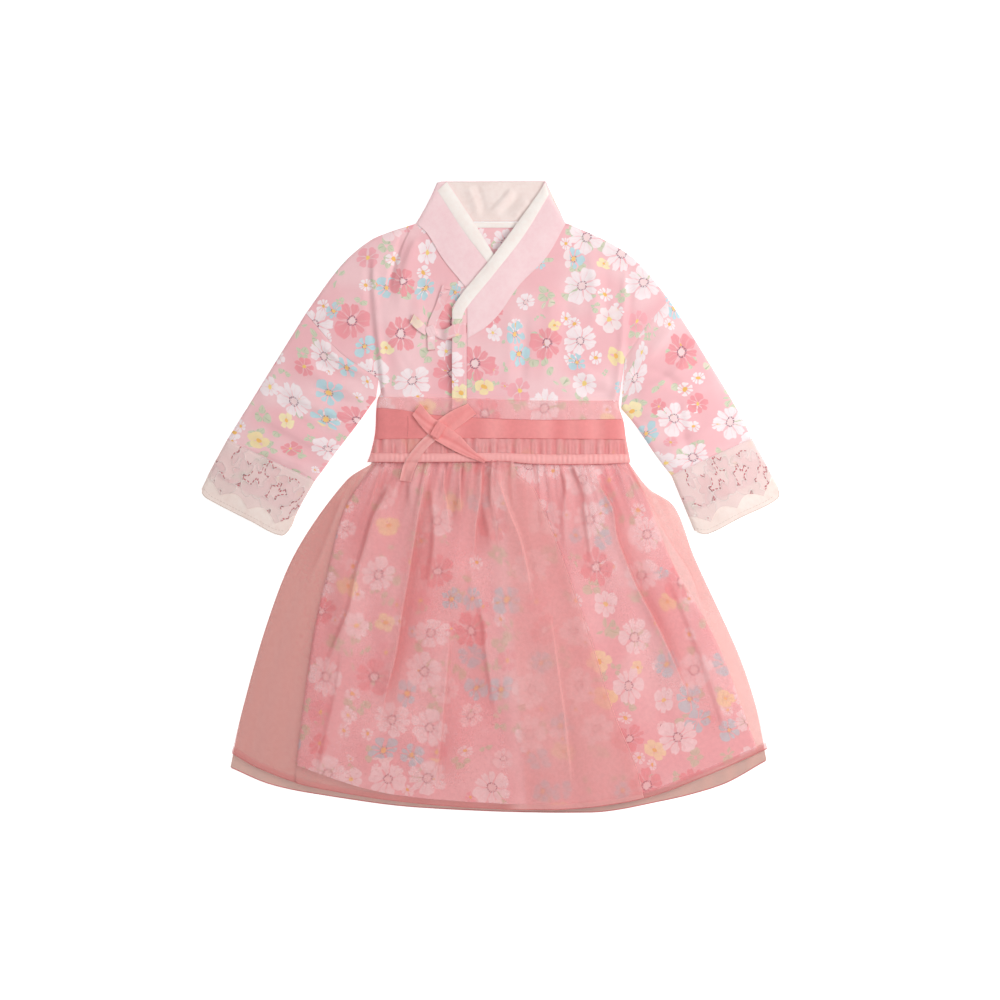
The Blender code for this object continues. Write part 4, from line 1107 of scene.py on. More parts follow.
def laceValues(across, down):
    # distance to the nearest lace leaf's edge, in millimetres, below 0 inside it, and the way along it
    best = np.full(across.shape, 9.0)
    way = np.zeros(across.shape)
    for half in (0, 1):
        for number, (u, v, reach, turn, count, spread) in enumerate(laceSprigs):
            middleX = (u if half == 0 else 2 - u) * cuffs["half"]
            middleY = v * cuffs["length"]
            for i in range(count):
                angle = math.radians(turn + (i - (count - 1) / 2) * spread)
                length = reach * (1.0 if (i + number) % 2 else 0.82)
                along = (across - middleX) * math.cos(angle) + (down - middleY) * math.sin(angle)
                beside = -(across - middleX) * math.sin(angle) + (down - middleY) * math.cos(angle)
                lengthways = (along - length * 0.58) / (length * 0.46)
                wide = length * 0.27 * (1 - 0.25 * np.clip(lengthways, -1, 1))
                far = (np.hypot(lengthways, beside / wide) - 1) * wide
                around = np.arctan2(beside / wide, lengthways) * length * 0.36
                way = np.where(far < best, around, way)
                best = np.minimum(best, far)
    edge = np.clip(best, -3, 9)
    return {"petalEdge": edge, "petalWay": way, "rise": 0.22 * bell((edge + 0.1) / 0.7) + 0.08 * (edge < 0)}


sleeveUnder = lifted(backBase, 0.25)
laceTop = lifted(sleeveTop, cuffs["laceRise"])
laceUnder = lifted(backBase, -0.15)
hemTop = lifted(sleeveTop, cuffs["hemRise"])
hemUnder = lifted(backBase, -0.25)


def mirroredU(surface):
    return lambda u, v: surface(1 - u, v)


def buildSleeve(side, dropSeam, under, upper, cuffSeam, cuffUpper, cuffUnder, cuffEnd):
    label = side.capitalize()
    shift = sleeves[side]["shift"]
    inner = Line([dropSeam[-1], under[0]], under)
    arm = between(Line(dropSeam), Line(cuffSeam), Line(upper), inner)
    end = between(Line(cuffSeam), Line(cuffEnd), Line(cuffUpper), Line(cuffUnder))
    flip = side == "left"
    if flip:
        arm = mirroredU(arm)
        end = mirroredU(end)
    sleeve = layTube("sleeve" + label, arm, sleeves["around"], sleeves["down"], sleeveTop, sleeveUnder,
                     looks["printed"], (96, 160, shift), flip=flip)
    declare(sleeve, ["sleeve_" + side], "printed_cotton",
            area=sleeves["area"])
    inside = layTube("sleeveEnd" + label, partOf(end, 0.006, 0.994, 0.0, 0.97), sleeves["around"], 40,
                     sleeveTop, sleeveUnder, looks["printed"],
                     (cuffs["half"], cuffs["length"], (shift[0], shift[1] - 160)), flip=flip)
    declare(inside, [], "printed_cotton")

    lace = layTube("laceCuff" + label, end, cuffs["around"], cuffs["down"], laceTop, laceUnder,
                   looks["lace"], (cuffs["half"], cuffs["length"], (0, 0)), values=laceValues,
                   reach=scallops, flip=flip)
    seam = Line(cuffSeam)
    row = layCords("cuffSeam" + label, [onTop(seam, laceTop, 60, -0.1, 0.02, 0.98)], 0.4,
                   looks["pinkThread"])
    attach(row, "cuff_lace")
    declare(lace, ["lace_cuff_" + side], "cuff_lace",
            withPieces=[row])

    hem = layTube("cuffHem" + label, partOf(end, vFrom=cuffs["hemStart"]), sleeves["around"], 16,
                  hemTop, hemUnder, looks["hem"], (cuffs["half"], 19, (0, 0)), flip=flip)
    edge = Line(cuffEnd)
    rolled = layCords("cuffEdge" + label, [onTop(edge, hemTop, 90, -0.5, 0.03, 0.97)], 0.6,
                      looks["creamThread"])
    fold = end(np.linspace(0.03, 0.97, 60), np.full(60, 0.94))
    sewn = Line([tuple(place) for place in fold[::6]])
    row = layCords("cuffStitches" + label, stitches(sewn, hemTop), 0.2, looks["creamThread"], sides=1)
    for piece in (rolled, row):
        attach(piece, "cream_cotton")
    declare(hem, ["cuff_hem_" + side], "cream_cotton",
            withPieces=[rolled, row])


def buildSleeves():
    buildSleeve("right", dropSeamRight, sleeveUnderRight, sleeveTopRight, cuffSeamRight, cuffTopRight,
                cuffUnderRight, cuffEndRight)
    buildSleeve("left", dropSeamLeft, sleeveUnderLeft, sleeveTopLeft, cuffSeamLeft, cuffTopLeft,
                cuffUnderLeft, cuffEndLeft)
    print("sleeves made")


# ---- collar

# folds of the lining: height, half width, lean, fade in, fade out, route
liningFolds = [
    (0.9, 3.0, 0.5, 0.3, 0.3, [(-24, 312), (-16, 296), (-11, 276)]),
    (-0.8, 3.5, 0.0, 0.3, 0.3, [(-16, 314), (-9, 298), (-5, 278)]),
    (1.0, 4.0, -0.5, 0.3, 0.3, [(24, 310), (10, 294), (-2, 282)]),
    (-0.9, 3.5, 0.0, 0.3, 0.3, [(32, 306), (18, 290), (6, 279)]),
    (0.8, 4.0, 0.3, 0.3, 0.3, [(40, 296), (28, 284), (22, 276)]),
]


def buildCollar():
    corners = [(-73, 274.8), (74, 274.8)]
    surface = stripOf(straight(nape[0], corners[0]), straight(nape[1], corners[1]))

    def liningTop(x, y):
        far = collarOuter[1].distance(x, y)
        folds = creases(x, y, liningFolds) * ease(far / 8)
        return 1.9 + 1.0 * bulge(far, 4) + 0.15 * pleats(x, 21, 4) * ease(far / 14) + 1.8 * folds

    back = laySheet("collarBack", surface, 60, 24,
                    lambda x, y: 1.9 - 1.4 * bulge(nearest(collarOuter, x, y), 4),
                    looks["collar"], flip=True, wall=0.7)
    declare(back, ["collar_back"], "pink_cotton", area=0.0055)
    lining = laySheet("collarLining", surface, 90, 30, liningTop, looks["lining"], wall=0.7)

    def tapeTop(x, y):
        return 3.2 - 0.3 * ((y - 271) / 3) ** 2 + 0.15 * pleats(x, 17, 8)

    tape = stripOf(straight((-58, 274), (-58, 268.3)), straight((58, 274), (58, 268.3)))
    strip = laySheet("neckTape", tape, 70, 6, tapeTop, looks["cream"], wall=0.6, edge=0.2)
    attach(strip, "cream_cotton", "neck_tape")
    declare(lining, ["collar_lining"], "cream_cotton",
            area=0.0055, withPieces=[strip])

    surface = stripOf(Line(bandOuterRight, bandSeamRight), Line(bandInnerRight))
    band = laySheet("collarBandRight", surface, 30, 90, rightBandTop, looks["collar"], turn=-35, wall=1.2,
                    edge=0.4)
    declare(band, ["collar_band_right"], "pink_cotton",
            area=0.005)
    surface = stripOf(Line(bandInnerLeft), Line(bandOuterLeft, bandSeamLeft))
    band = laySheet("collarBandLeft", partOf(surface, vTo=0.997), 34, 110, leftBandTop, looks["collar"],
                    turn=35, wall=1.2, edge=0.4)
    declare(band, ["collar_band_left"], "pink_cotton",
            area=0.007)

    for side, outer, inner, top, flat in (
            ("Right", edgingOuterRight, edgingInnerRight, rightBandTop, (0.012, 0.095)),
            ("Left", edgingOuterLeft, edgingInnerLeft, leftBandTop, (0.013, 0.17))):
        outer = Line(outer)
        inner = Line(inner)
        surface = stripOf(outer, inner) if side == "Right" else stripOf(inner, outer)
        middle = Line((outer.at(np.linspace(0, 1, 8)) + inner.at(np.linspace(0, 1, 8))) / 2)
        strip = laySheet("collarEdging" + side, surface, 14, 90,
                         lambda x, y: top(x, y) + 0.95 - 0.5 * (middle.distance(x, y) / 5) ** 2,
                         looks["cream"], turn=40, wall=0.8, edge=0.3)
        declare(strip, ["collar_edging_" + side.lower()], "cream_cotton")
    print("collar made")


# ---- waist

sideLineRight = Line(sideRight)
sideLineLeft = Line(sideLeft)
sheerTop = Line([(-125, 99.5), (-50, 98.5), (20, 96.5), (80, 95.5), (145, 96)])
sashTopLine = Line([(-125, 89), (-95, 86.5), (-76, 83.5), (-50, 80.5), (10, 77), (60, 76), (145, 77)])
sashBottomLine = Line([(-125, 57), (-60, 58), (0, 58), (60, 57.5), (145, 57)])
elasticTopLine = Line([(-130, 43.5), (-60, 43), (0, 43.5), (60, 42), (145, 42.5)])
elasticBottomLine = Line([(-130, 34.6), (-95, 34.2), (-60, 34.3), (-5, 34.8), (14, 35.2), (36, 33),
                          (60, 32.2), (110, 32.4), (145, 34.5)])

waistLay = {
    "rise": 1.0,         # of the bands above the front
    "sashRise": 0.7,     # of each further layer
    "gatherStep": 8.5,   # spacing of the gathers under the sash, and their depth
    "gatherDepth": 0.75,
    "ribStep": 3.3,      # spacing of the elastic's ribs, and how full its casing is
    "casing": 1.5,
}


bandBase = lifted(frontBase, waistLay["rise"])


def bandSurface(topLine, bottomLine):
    def place(u, v):
        x = -120 + 256 * u
        y = topLine.yAt(x) + (bottomLine.yAt(x) - topLine.yAt(x)) * v
        x = sideLineRight.xAt(y) + (sideLineLeft.xAt(y) - sideLineRight.xAt(y)) * u
        return np.stack([x, y], -1)
    return place


def sheerHeight(x, y):
    return bandBase(x, y) + 0.12 * pleats(x, 15, 2) * ease((99 - y) / 10)


def sashHeight(x, y):
    across = np.clip((sashTopLine.yAt(x) - y) / 22, 0, 1)
    return (bandBase(x, y) + waistLay["sashRise"] + 0.8 * np.sin(math.pi * across) + 0.35 * pleats(x, 26, 6)
            + 0.25 * ripples(x, y, 30, 8))


def gatherWave(x, y):
    # upright gathers, uneven in width, and some only part of the way up or down
    wide = pleats(x, waistLay["gatherStep"], 14, 4)
    down = (57.5 - y) / 14
    return (wide * (0.7 + 0.3 * pleats(x, 31, 15) * (down - 0.5) * 2)
            + 0.35 * pleats(x, 4.1, 19) * ease(down / 0.6))


def gatherHeight(x, y):
    return bandBase(x, y) + 0.9 + waistLay["gatherDepth"] * gatherWave(x, y) * bulge(edgeDistance(x, y), 8)


def elasticHeight(x, y):
    top = elasticTopLine.yAt(x)
    across = np.clip((top - y) / (top - elasticBottomLine.yAt(x)), 0, 1)
    crown = np.sin(math.pi * across) ** 0.6 * bulge(edgeDistance(x, y), 6)
    ribs = 0.16 * pleats(x, waistLay["ribStep"], 18, 3) * crown
    return bandBase(x, y) + 0.6 + waistLay["casing"] * crown + ribs


def buildWaist():
    # painted highlight along the sheer band's pleats
    sheer = laySheet("waistbandSheer", bandSurface(sheerTop, sashTopLine), 150, 12, sheerHeight,
                     looks["sheerBand"], crest=lambda x, y: 0.3 + 0.2 * pleats(x, 15, 2))
    declare(sheer, ["waistband_sheer"], "coral_organza")

    # painted highlight on the sash, fading out towards the wearer's right, where it lies in shade
    sash = laySheet("sashFront", bandSurface(sashTopLine, sashBottomLine), 180, 24, sashHeight,
                    looks["sash"], wall=0.6, edge=0.2,
                    crest=lambda x, y: ease((x + 90) / 60) * (0.35 + 0.3 * pleats(x, 34, 16)))
    lap = Line([(-82.5, 80), (-82, 70), (-83, 58.5)])
    edge = layCords("sashLap", [onTop(lap, sashHeight, 16, 0)], 0.25, looks["rolled"])
    seams = layCords("sashEdges", [onTop(sashTopLine, sashHeight, 120, -0.2, 0.045, 0.945),
                                   onTop(sashBottomLine, sashHeight, 120, -0.1, 0.045, 0.95)], 0.28,
                     looks["coralThread"])
    for piece in (edge, seams):
        attach(piece, "coral_sash")
    declare(sash, ["sash_front"], "coral_sash",
            withPieces=[edge, seams])

    # painted highlight on the gathers' ridges and painted shade in the hollows between them
    gather = laySheet("waistGather", bandSurface(sashBottomLine, elasticTopLine), 300, 18, gatherHeight,
                      looks["gather"], edges=0.3, crest=lambda x, y: 0.35 + 0.4 * gatherWave(x, y),
                      tuck=lambda x, y: -0.6 * gatherWave(x, y))
    declare(gather, ["waist_gather"], "coral_organza")

    # painted highlight on the elastic's ribs
    elastic = laySheet("elasticFront", bandSurface(elasticTopLine, elasticBottomLine), 420, 14,
                       elasticHeight, looks["elastic"], edges=0.3, steep=1.2,
                       crest=lambda x, y: 0.5 + 0.22 * pleats(x, waistLay["ribStep"], 18, 3))
    seam = layCords("elasticSeam", [onTop(elasticBottomLine, elasticHeight, 260, -0.3, 0.05, 0.95)], 0.45,
                    looks["coralThread"])
    attach(seam, "coral_organza")
    declare(elastic, ["elastic_front"], "coral_organza",
            withPieces=[seam])

    def backLow(x, y):
        return 1.6 - 1.2 * bulge(edgeDistance(x, y), 4)

    # painted highlight in bands on the back pieces
    back = laySheet("waistbandBack", bandSurface(sheerTop, elasticTopLine), 120, 20, backLow, looks["sash"],
                    flip=True, crest=lambda x, y: 0.4 + 0.4 * pleats(x, 15, 22))
    declare(back, ["waistband_back"], "coral_sash")
    back = laySheet("elasticBack", bandSurface(elasticTopLine, elasticBottomLine), 300, 8, backLow,
                    looks["elastic"], flip=True,
                    crest=lambda x, y: 0.4 + 0.5 * pleats(x, waistLay["ribStep"], 23, 3))
    declare(back, ["elastic_back"], "coral_sash")
    print("waist made")


# ---- skirts

skirtLay = {
    "length": 345,
    "across": 257,       # width of the waist
    "edge": 3.0,         # height of the printed skirt's side edges
    "loft": 3.6,
    "tuck": 2.2,         # how far the skirts drop where they go in under the elastic
    "clear": 0.8,        # of the overskirt above the printed skirt
    "puff": 1.6,         # air under the overskirt, away from its sides
    "waveStep": 42,      # spacing and height of its broad waves
    "waveHeight": 0.8,
    "wrapRise": 2.0,     # of its front panel over the one underneath
    "gathers": 29,       # small folds that start at the waist
    "gatherSeed": 5,
    "gatherMiddle": 8,   # where they hang straight down
    "spread": 1.1,       # how far they fan out over the length of the skirt
    "hem": 6.0,          # depth of the overskirt's hem
}
# folds of the overskirt's front, each lapped to one side: height, reach of its soft side, the way its crisp
# side faces (1 is to the right), how dark the painted shade beside it is, fade in, fade out, route
veilFolds = [
    (1.6, 9, -1, 0.35, 0.15, 0.40, [(-144.6, 4.5), (-157.3, -29.9), (-171.4, -65.6), (-187.9, -96.3)]),
    (2.9, 20, -1, 0.65, 0.10, 0.35, [(-98.7, 22), (-102.5, 4.5), (-115.2, -19.7), (-124.2, -50.3),
                                     (-133.1, -79.7), (-139.5, -111.6), (-157.3, -157.5), (-172, -205)]),
    (2.2, 9, -1, 0.45, 0.15, 0.45, [(-73.8, 30), (-79.5, 18.5), (-80.2, 8.3), (-78.9, -7), (-80, -26)]),
    (1.8, 8, 1, 0.55, 0.15, 0.45, [(-109, 31), (-113, 18), (-117, 4), (-123, -16)]),
    (4.4, 24, 1, 0.95, 0.10, 0.30, [(-64, 30), (-68.1, 3.2), (-73.2, -24.8), (-77, -47.8), (-82.7, -83.5),
                                    (-88.5, -115.4), (-94.8, -157.5), (-102.6, -188.5), (-113.5, -242)]),
    (2.1, 12, -1, 0.75, 0.15, 0.50, [(-58, 14), (-56.6, -9.5), (-55.3, -40.1), (-56.6, -58), (-61, -87.3),
                                     (-64, -112)]),
    (2.4, 9, 1, 0.60, 0.10, 0.45, [(-46, 32), (-47, 12), (-43, -12), (-41, -44)]),
    (2.6, 14, 1, 0.80, 0.10, 0.40, [(-30.5, 33), (-31.1, 16), (-30.5, -0.5), (-29, -22)]),
    (3.0, 17, 1, 0.50, 0.10, 0.45, [(-9.4, 32), (-10, 3.2), (-14.5, -24.8), (-16.5, -50), (-18, -76)]),
    (1.3, 7, -1, 0.35, 0.30, 0.50, [(-9.4, 4), (-5.5, -13.4), (-1.7, -29.9), (0.8, -47.8), (2, -60)]),
    (1.2, 16, -1, 0.25, 0.35, 0.50, [(-20.9, -58), (-18.3, -79.7), (-18.9, -96.3), (-21.5, -129.4)]),
    (2.2, 22, -1, 0.60, 0.25, 0.40, [(-14.5, -90), (-9.4, -111.6), (-5.5, -126.9), (-3.4, -155),
                                     (3.7, -200.7), (10, -236)]),
    (2.2, 12, -1, 0.80, 0.10, 0.50, [(3.3, 33), (1.4, 16), (2, -0.5), (7.8, -32.5), (12, -64)]),
    (2.8, 14, 1, 0.40, 0.10, 0.40, [(10, 33), (7.8, 18.5), (14.1, -4.4), (19.2, -18.5), (29.5, -45.2),
                                    (37.1, -79.7), (42, -112)]),
    (2.2, 11, -1, 0.60, 0.15, 0.50, [(74.1, 30), (76.6, 12.2), (73.9, -10), (75.4, -45.2), (79, -70)]),
    (2.6, 12, -1, 0.85, 0.05, 0.50, [(82, 33), (88.1, 19.8), (95.1, -0.6), (94.5, -12.1), (98.3, -40.1),
                                     (103.4, -86.1), (105, -104)]),
    (4.6, 26, 1, 0.95, 0.10, 0.30, [(103, 28), (109.8, 8.3), (121.3, -13.3), (125.1, -40.1), (134, -64.4),
                                    (144.2, -88.6), (169.5, -137.1), (192.3, -187.7), (211, -222)]),
    (2.4, 12, 1, 0.45, 0.15, 0.40, [(126, 31), (144.2, 13.5), (153.2, 0.7), (165.9, -22.3), (176, -42)]),
    (2.6, 14, 1, 0.35, 0.20, 0.30, [(162, -16), (182.6, -52.9), (197.9, -77.1), (206.8, -101.4),
                                    (213, -130)]),
    (2.2, 22, -1, 0.30, 0.25, 0.15, [(-146, -140), (-152, -190), (-163, -240), (-172, -288)]),
    (2.4, 24, 1, 0.40, 0.25, 0.15, [(-40, -120), (-44, -180), (-50, -240), (-56, -296)]),
    (2.2, 22, 1, 0.35, 0.25, 0.15, [(58, -110), (66, -170), (74, -230), (80, -290)]),
    (2.2, 22, -1, 0.35, 0.25, 0.15, [(170, -60), (196, -120), (222, -190), (238, -246)]),
]


def insideSkirt(x, y):
    near = nearest(skirtSides, x, y)
    inside = (x > skirtSides[0].xAt(y)) & (x < skirtSides[1].xAt(y))
    return np.where(inside, near, -near)


def downSkirt(y):
    return np.clip((waistY - y) / skirtLay["length"], 0, 1)


def fanned(x, down):
    # where at the waist a fold starts that passes here
    middle = skirtLay["gatherMiddle"]
    return middle + (x - middle) / (1 + skirtLay["spread"] * down)


def fullness(y):
    return np.interp(downSkirt(y), [0, 0.25, 0.6, 1], [0.5, 0.95, 1, 0.7])


def skirtAcross(x, y):
    # how far across the skirt a place lies, in millimetres of the waist
    start = veilSides[0].xAt(y)
    return (x - start) / (veilSides[1].xAt(y) - start) * skirtLay["across"]


def gathers(x, y, seed, count, height, reach):
    # small folds that start at the waist, each with its own place, depth, drift and length
    rng = np.random.RandomState(seed)
    down = downSkirt(y)
    across = fanned(x, down)
    total = np.zeros(np.shape(x))
    for i in range(count):
        middle = -119 + (i + 0.5 + rng.uniform(-0.35, 0.35)) * skirtLay["across"] / count
        fold = height * rng.uniform(0.4, 1.2)
        length = reach * rng.uniform(0.4, 1.7)
        lean = rng.uniform(-0.5, 0.5)
        wide = (2.0 + rng.uniform(0, 1.4)) * (1 + 5 * down)
        off = across - middle - rng.uniform(-20, 20) * down
        total = total + fold * bell(off / (wide * np.where(off < 0, 1 - lean, 1 + lean))) * np.exp(
            -(down / length) ** 1.6)
    return total * bulge(nearest(veilSides, x, y), 14)


laps = {
    "crisp": 2.3,        # over how many millimetres the crisp side drops
    "gentler": 3.0,      # how much wider that is where it faces left
    "trough": 0.22,      # how far the cloth beside it dips, as a share of the fold's height
    "shade": 11.0,       # how far the painted shade beside it reaches
}
lapped = {}


def lapFolds(x, y):
    # height, painted highlight and painted shade of the overskirt's lapped folds
    key = (len(x), float(x[0]), float(x[-1]), float(y.sum())) if np.ndim(x) else None
    if key in lapped:
        return lapped[key]
    high = np.zeros(np.shape(x))
    dip = np.zeros(np.shape(x))
    unhighlit = np.ones(np.shape(x))
    light = np.ones(np.shape(x))
    for height, soft, way, shadeStrength, fadeIn, fadeOut, route in veilFolds:
        distance, part, side = Line(route).near(x, y)
        shown = ease(part / fadeIn) * ease((1 - part) / fadeOut)
        grown = 0.55 + 0.45 * ease(part / 0.4)
        facing = side * way > 0
        softly = np.exp(-(distance / (soft * grown)) ** 1.3)
        drop = 1 - ease(distance / (laps["crisp"] * (1 if way > 0 else laps["gentler"])))
        high = high + (height * shown * np.where(facing, drop, softly)) ** 2
        dip = dip + laps["trough"] * height * shown * facing * bell((distance - 4.5) / 3.5)
        # painted highlight: a pale band along the soft side and a pale rim at the edge
        rim = bell((distance - np.where(facing, 0, 0.8)) / 1.5)
        highlightShare = np.maximum(np.where(facing, 0, 0.80 * softly), 0.85 * rim)
        unhighlit = unhighlit * (1 - shown * highlightShare * ease(height / 3.5))
        # painted shade on the cloth beside the crisp edge
        light = light * (1 - shown * shadeStrength * facing * ease(distance / 1.6) * np.exp(
            -(distance / (laps["shade"] * (0.5 + grown))) ** 1.2))
    result = np.sqrt(high) - dip, 1 - unhighlit, 1 - light
    if key:
        lapped[key] = result
    return result


def tucked(y):
    return -skirtLay["tuck"] * ease((y - waistY + 5) / 5)


def skirtTop(x, y):
    inside = np.maximum(insideSkirt(x, y), 0)
    waist = ease((y + 10) / 40)
    lie = (skirtLay["edge"] + 1.4 * bulge(inside, 4)
           + skirtLay["loft"] * fullness(y) * (1 - np.exp(-inside / 25))
           + 0.6 * ripples(x, y * 0.4, 45, 21) * bulge(inside, 20))
    return lie + 1.2 * waist * bulge(inside, 10) + 0.35 * gathers(x, y, 15, 24, 2.0, 0.25) + tucked(y)


def veilLie(x, y):
    # where the overskirt lies before its folds: on the printed skirt, and past its sides on the back
    inside = insideSkirt(x, y)
    over = ease((inside + 20) / 20)
    side = nearest(veilSides, x, y)
    beside = 1.4 + 1.2 * bulge(side, 4) + 1.8 * (1 - np.exp(-side / 25))
    return beside * (1 - over) + (skirtTop(x, y) + skirtLay["clear"]) * over


def veilLift(x, y):
    inside = np.maximum(insideSkirt(x, y), 0)
    side = nearest(veilSides, x, y)
    down = downSkirt(y)
    wide = pleats(skirtAcross(x, y), skirtLay["waveStep"], 42) * skirtLay["waveHeight"]
    wide = wide * ease(down / 0.3) * bulge(side, 20)
    puff = skirtLay["puff"] * fullness(y) * (1 - np.exp(-inside / 25))
    hem = 0.55 + 0.45 * ease((1 - down) / 0.12)
    folds = lapFolds(x, y)[0] * bulge(side, 16)
    small = gathers(x, y, skirtLay["gatherSeed"], skirtLay["gathers"], 2.2, 0.11)
    return (puff + wide + folds + small) * hem


def softly(lift):
    # never below 0, without a kink
    return 0.5 * (lift + np.sqrt(lift * lift + 0.5))


def veilTop(x, y):
    return veilLie(x, y) + softly(veilLift(x, y))


def underWrap(x, y):
    return ease((x - wrapUnderEdge.xAt(y) + 26) / 22)


def overTop(x, y):
    return veilTop(x, y) + skirtLay["wrapRise"] * underWrap(x, y)


def nearWaist(x, y):
    # the gathers just below the elastic, about -1 to 1
    down = downSkirt(y)
    return pleats(fanned(x, down), 8.5, 77, 4) * np.exp(-(down / 0.10) ** 1.4)


# painted highlight along the lapped folds and on the gathers below the elastic
def paintedHighlightOf(x, y):
    return lapFolds(x, y)[1] + 0.30 * nearWaist(x, y)


def shadeAndHemOf(hemLine):
    # painted shade beside the folds and between the gathers, and the hem's double layer, which is denser
    def value(x, y):
        hem = ease((skirtLay["hem"] - hemLine.distance(x, y)) / 1.5)
        return np.maximum(lapFolds(x, y)[2] - 0.35 * nearWaist(x, y), 0.75 * hem)
    return value


def shareAt(surface, edge, v):
    # the share of a row at which an edge that runs down the skirt crosses it
    low = np.zeros_like(v)
    high = np.ones_like(v)
    for _ in range(22):
        middle = (low + high) / 2
        xy = surface(middle, v)
        left = xy[..., 0] < edge.xAt(xy[..., 1])
        low = np.where(left, middle, low)
        high = np.where(left, high, middle)
    return (low + high) / 2


def buildSkirts():
    upY = waistY + 4.5
    top = straight((-119.6, upY), (139, upY))
    surface = between(top, Line(veilBackHem),
                      Line([top.at(0.0), veilRight[0]], veilRight + veilBackHem[:1]),
                      Line([top.at(1.0), veilLeft[0]], veilLeft + veilBackHem[-1:]))

    def backLow(x, y):
        side = nearest(veilSides, x, y)
        waves = 1 + pleats(skirtAcross(x, y), 22, 51)
        return 1.2 - 0.8 * bulge(side, 4) + 0.4 * ease(side / 20) * waves * 0.5

    hemLine = Line(veilBackHem)
    # darker and denser towards the hem, and painted shade towards the wearer's right side
    def backShadeAndHem(x, y):
        return np.maximum(1.3 * ease((20 - hemLine.distance(x, y)) / 12), ease((-95 - x) / 50))

    # crest: a painted highlight in bands across the back
    back = laySheet("overskirtBack", surface, 200, 110, backLow, looks["veilBack"], flip=True,
                    crest=lambda x, y: 0.25 + 0.25 * pleats(skirtAcross(x, y), 14, 52), tuck=backShadeAndHem)
    roll = layCords("backHemRoll", [onTop(hemLine, backLow, 220, 0.45, 0.002, 0.998)], 0.45,
                    looks["rolled"])
    attach(roll, "coral_organza")
    declare(back, ["overskirt_back"], "coral_organza",
            withPieces=[roll])

    top = straight((-116, upY), (137.4, upY))
    surface = between(top, Line(skirtHem), Line([top.at(0.0), skirtRight[0]], skirtRight),
                      Line([top.at(1.0), skirtLeft[0]], skirtLeft))

    def skirtLow(x, y):
        inside = np.maximum(insideSkirt(x, y), 0)
        return skirtLay["edge"] - 1.0 * bulge(inside, 4)

    back = laySheet("skirtBack", surface, 70, 60, skirtLow, looks["printed"], flip=True, shift=(700, 300))
    declare(back, ["skirt_back"], "printed_cotton", area=0.125)
    front = laySheet("skirtFront", surface, 160, 120, skirtTop, looks["printed"], shift=(910, 420), turn=1)
    declare(front, ["skirt_front"], "printed_cotton", area=0.125)

    top = straight((-119, upY), (138.8, upY))
    sides = [Line([top.at(0.0), veilRight[0]], veilRight + veilFrontHem[:1]),
             Line([top.at(1.0), veilLeft[0]], veilLeft + veilFrontHem[-1:])]
    hemLine = Line(veilFrontHem)
    whole = between(top, hemLine, *sides)

    def over(u, v):
        return whole(u * shareAt(whole, wrapEdge, v), v)

    def under(u, v):
        start = shareAt(whole, wrapUnderEdge, v)
        return whole(start + (1 - start) * u, v)

    down = np.linspace(0.03, 0.998, 160)
    sheet = laySheet("overskirtFrontUnder", under, 240, 140, veilTop, looks["veilUnder"], edges=0.2,
                     crest=paintedHighlightOf, tuck=shadeAndHemOf(hemLine))
    hem = under(np.linspace(0, 0.998, 160), np.ones(160))
    roll = layCords("underPanelRoll", [raised(hem, veilTop)], 0.45, looks["rolled"])
    attach(roll, "coral_organza")
    declare(sheet, ["overskirt_front_under"], "coral_organza",
            withPieces=[roll])
    lapped.clear()

    # painted highlight, also along the panel's front edge and where it lies over the panel underneath
    def overPaintedHighlight(x, y):
        return paintedHighlightOf(x, y) + 0.8 * np.maximum(bell(wrapEdge.distance(x, y) / 2.2), underWrap(x, y))

    sheet = laySheet("overskirtFrontOver", over, 420, 190, overTop, looks["veil"], edges=0.2,
                     crest=overPaintedHighlight, tuck=shadeAndHemOf(hemLine))
    hem = over(np.linspace(0.002, 1, 200), np.ones(200))
    edge = over(np.ones(160), down)
    roll = layCords("overPanelRoll", [raised(hem, overTop)], 0.45, looks["rolled"])
    # the front edge's cord carries a painted highlight
    front = layCords("overPanelEdge", [raised(edge, overTop, 0)], 0.3, looks["rolledPaintedHighlight"])
    for piece in (roll, front):
        attach(piece, "coral_organza")
    declare(sheet, ["overskirt_front_over"], "coral_organza",
            withPieces=[roll, front])
    print("skirts made")


def raised(xy, top, rise=0.1):
    return np.column_stack([xy, top(xy[:, 0], xy[:, 1]) + rise])


# ---- ties and bow

# each ribbon by its two long edges, from where it starts to its free end
ties = {
    "tieUpper": dict(node="tie_upper", shift=(96, 305),
                     a=[(-48.2, 211), (-54, 193), (-62, 174), (-63, 167)],
                     b=[(-39.2, 209), (-44.5, 193), (-53, 175.5), (-55.5, 166)]),
    "tieLower": dict(node="tie_lower", shift=(140, 262),
                     a=[(-24, 173.3), (-36.9, 170.9), (-46.1, 166.8), (-55, 168)],
                     b=[(-24, 163.2), (-36.9, 158.6), (-46.6, 156), (-57, 161)]),
    "tieTailSide": dict(node="tie_tail_side", shift=(60, 330), a=[(-62.5, 168.5), (-70, 176), (-76.5, 182)],
                        b=[(-65, 160.5), (-73.5, 166.5), (-80.5, 173.2)]),
    "tieTailDown": dict(node="tie_tail_down", shift=(20, 290), a=[(-63.5, 166.5), (-63, 156), (-62.7, 146)],
                        b=[(-55.5, 163), (-55.3, 154), (-55.2, 146.3)]),
}
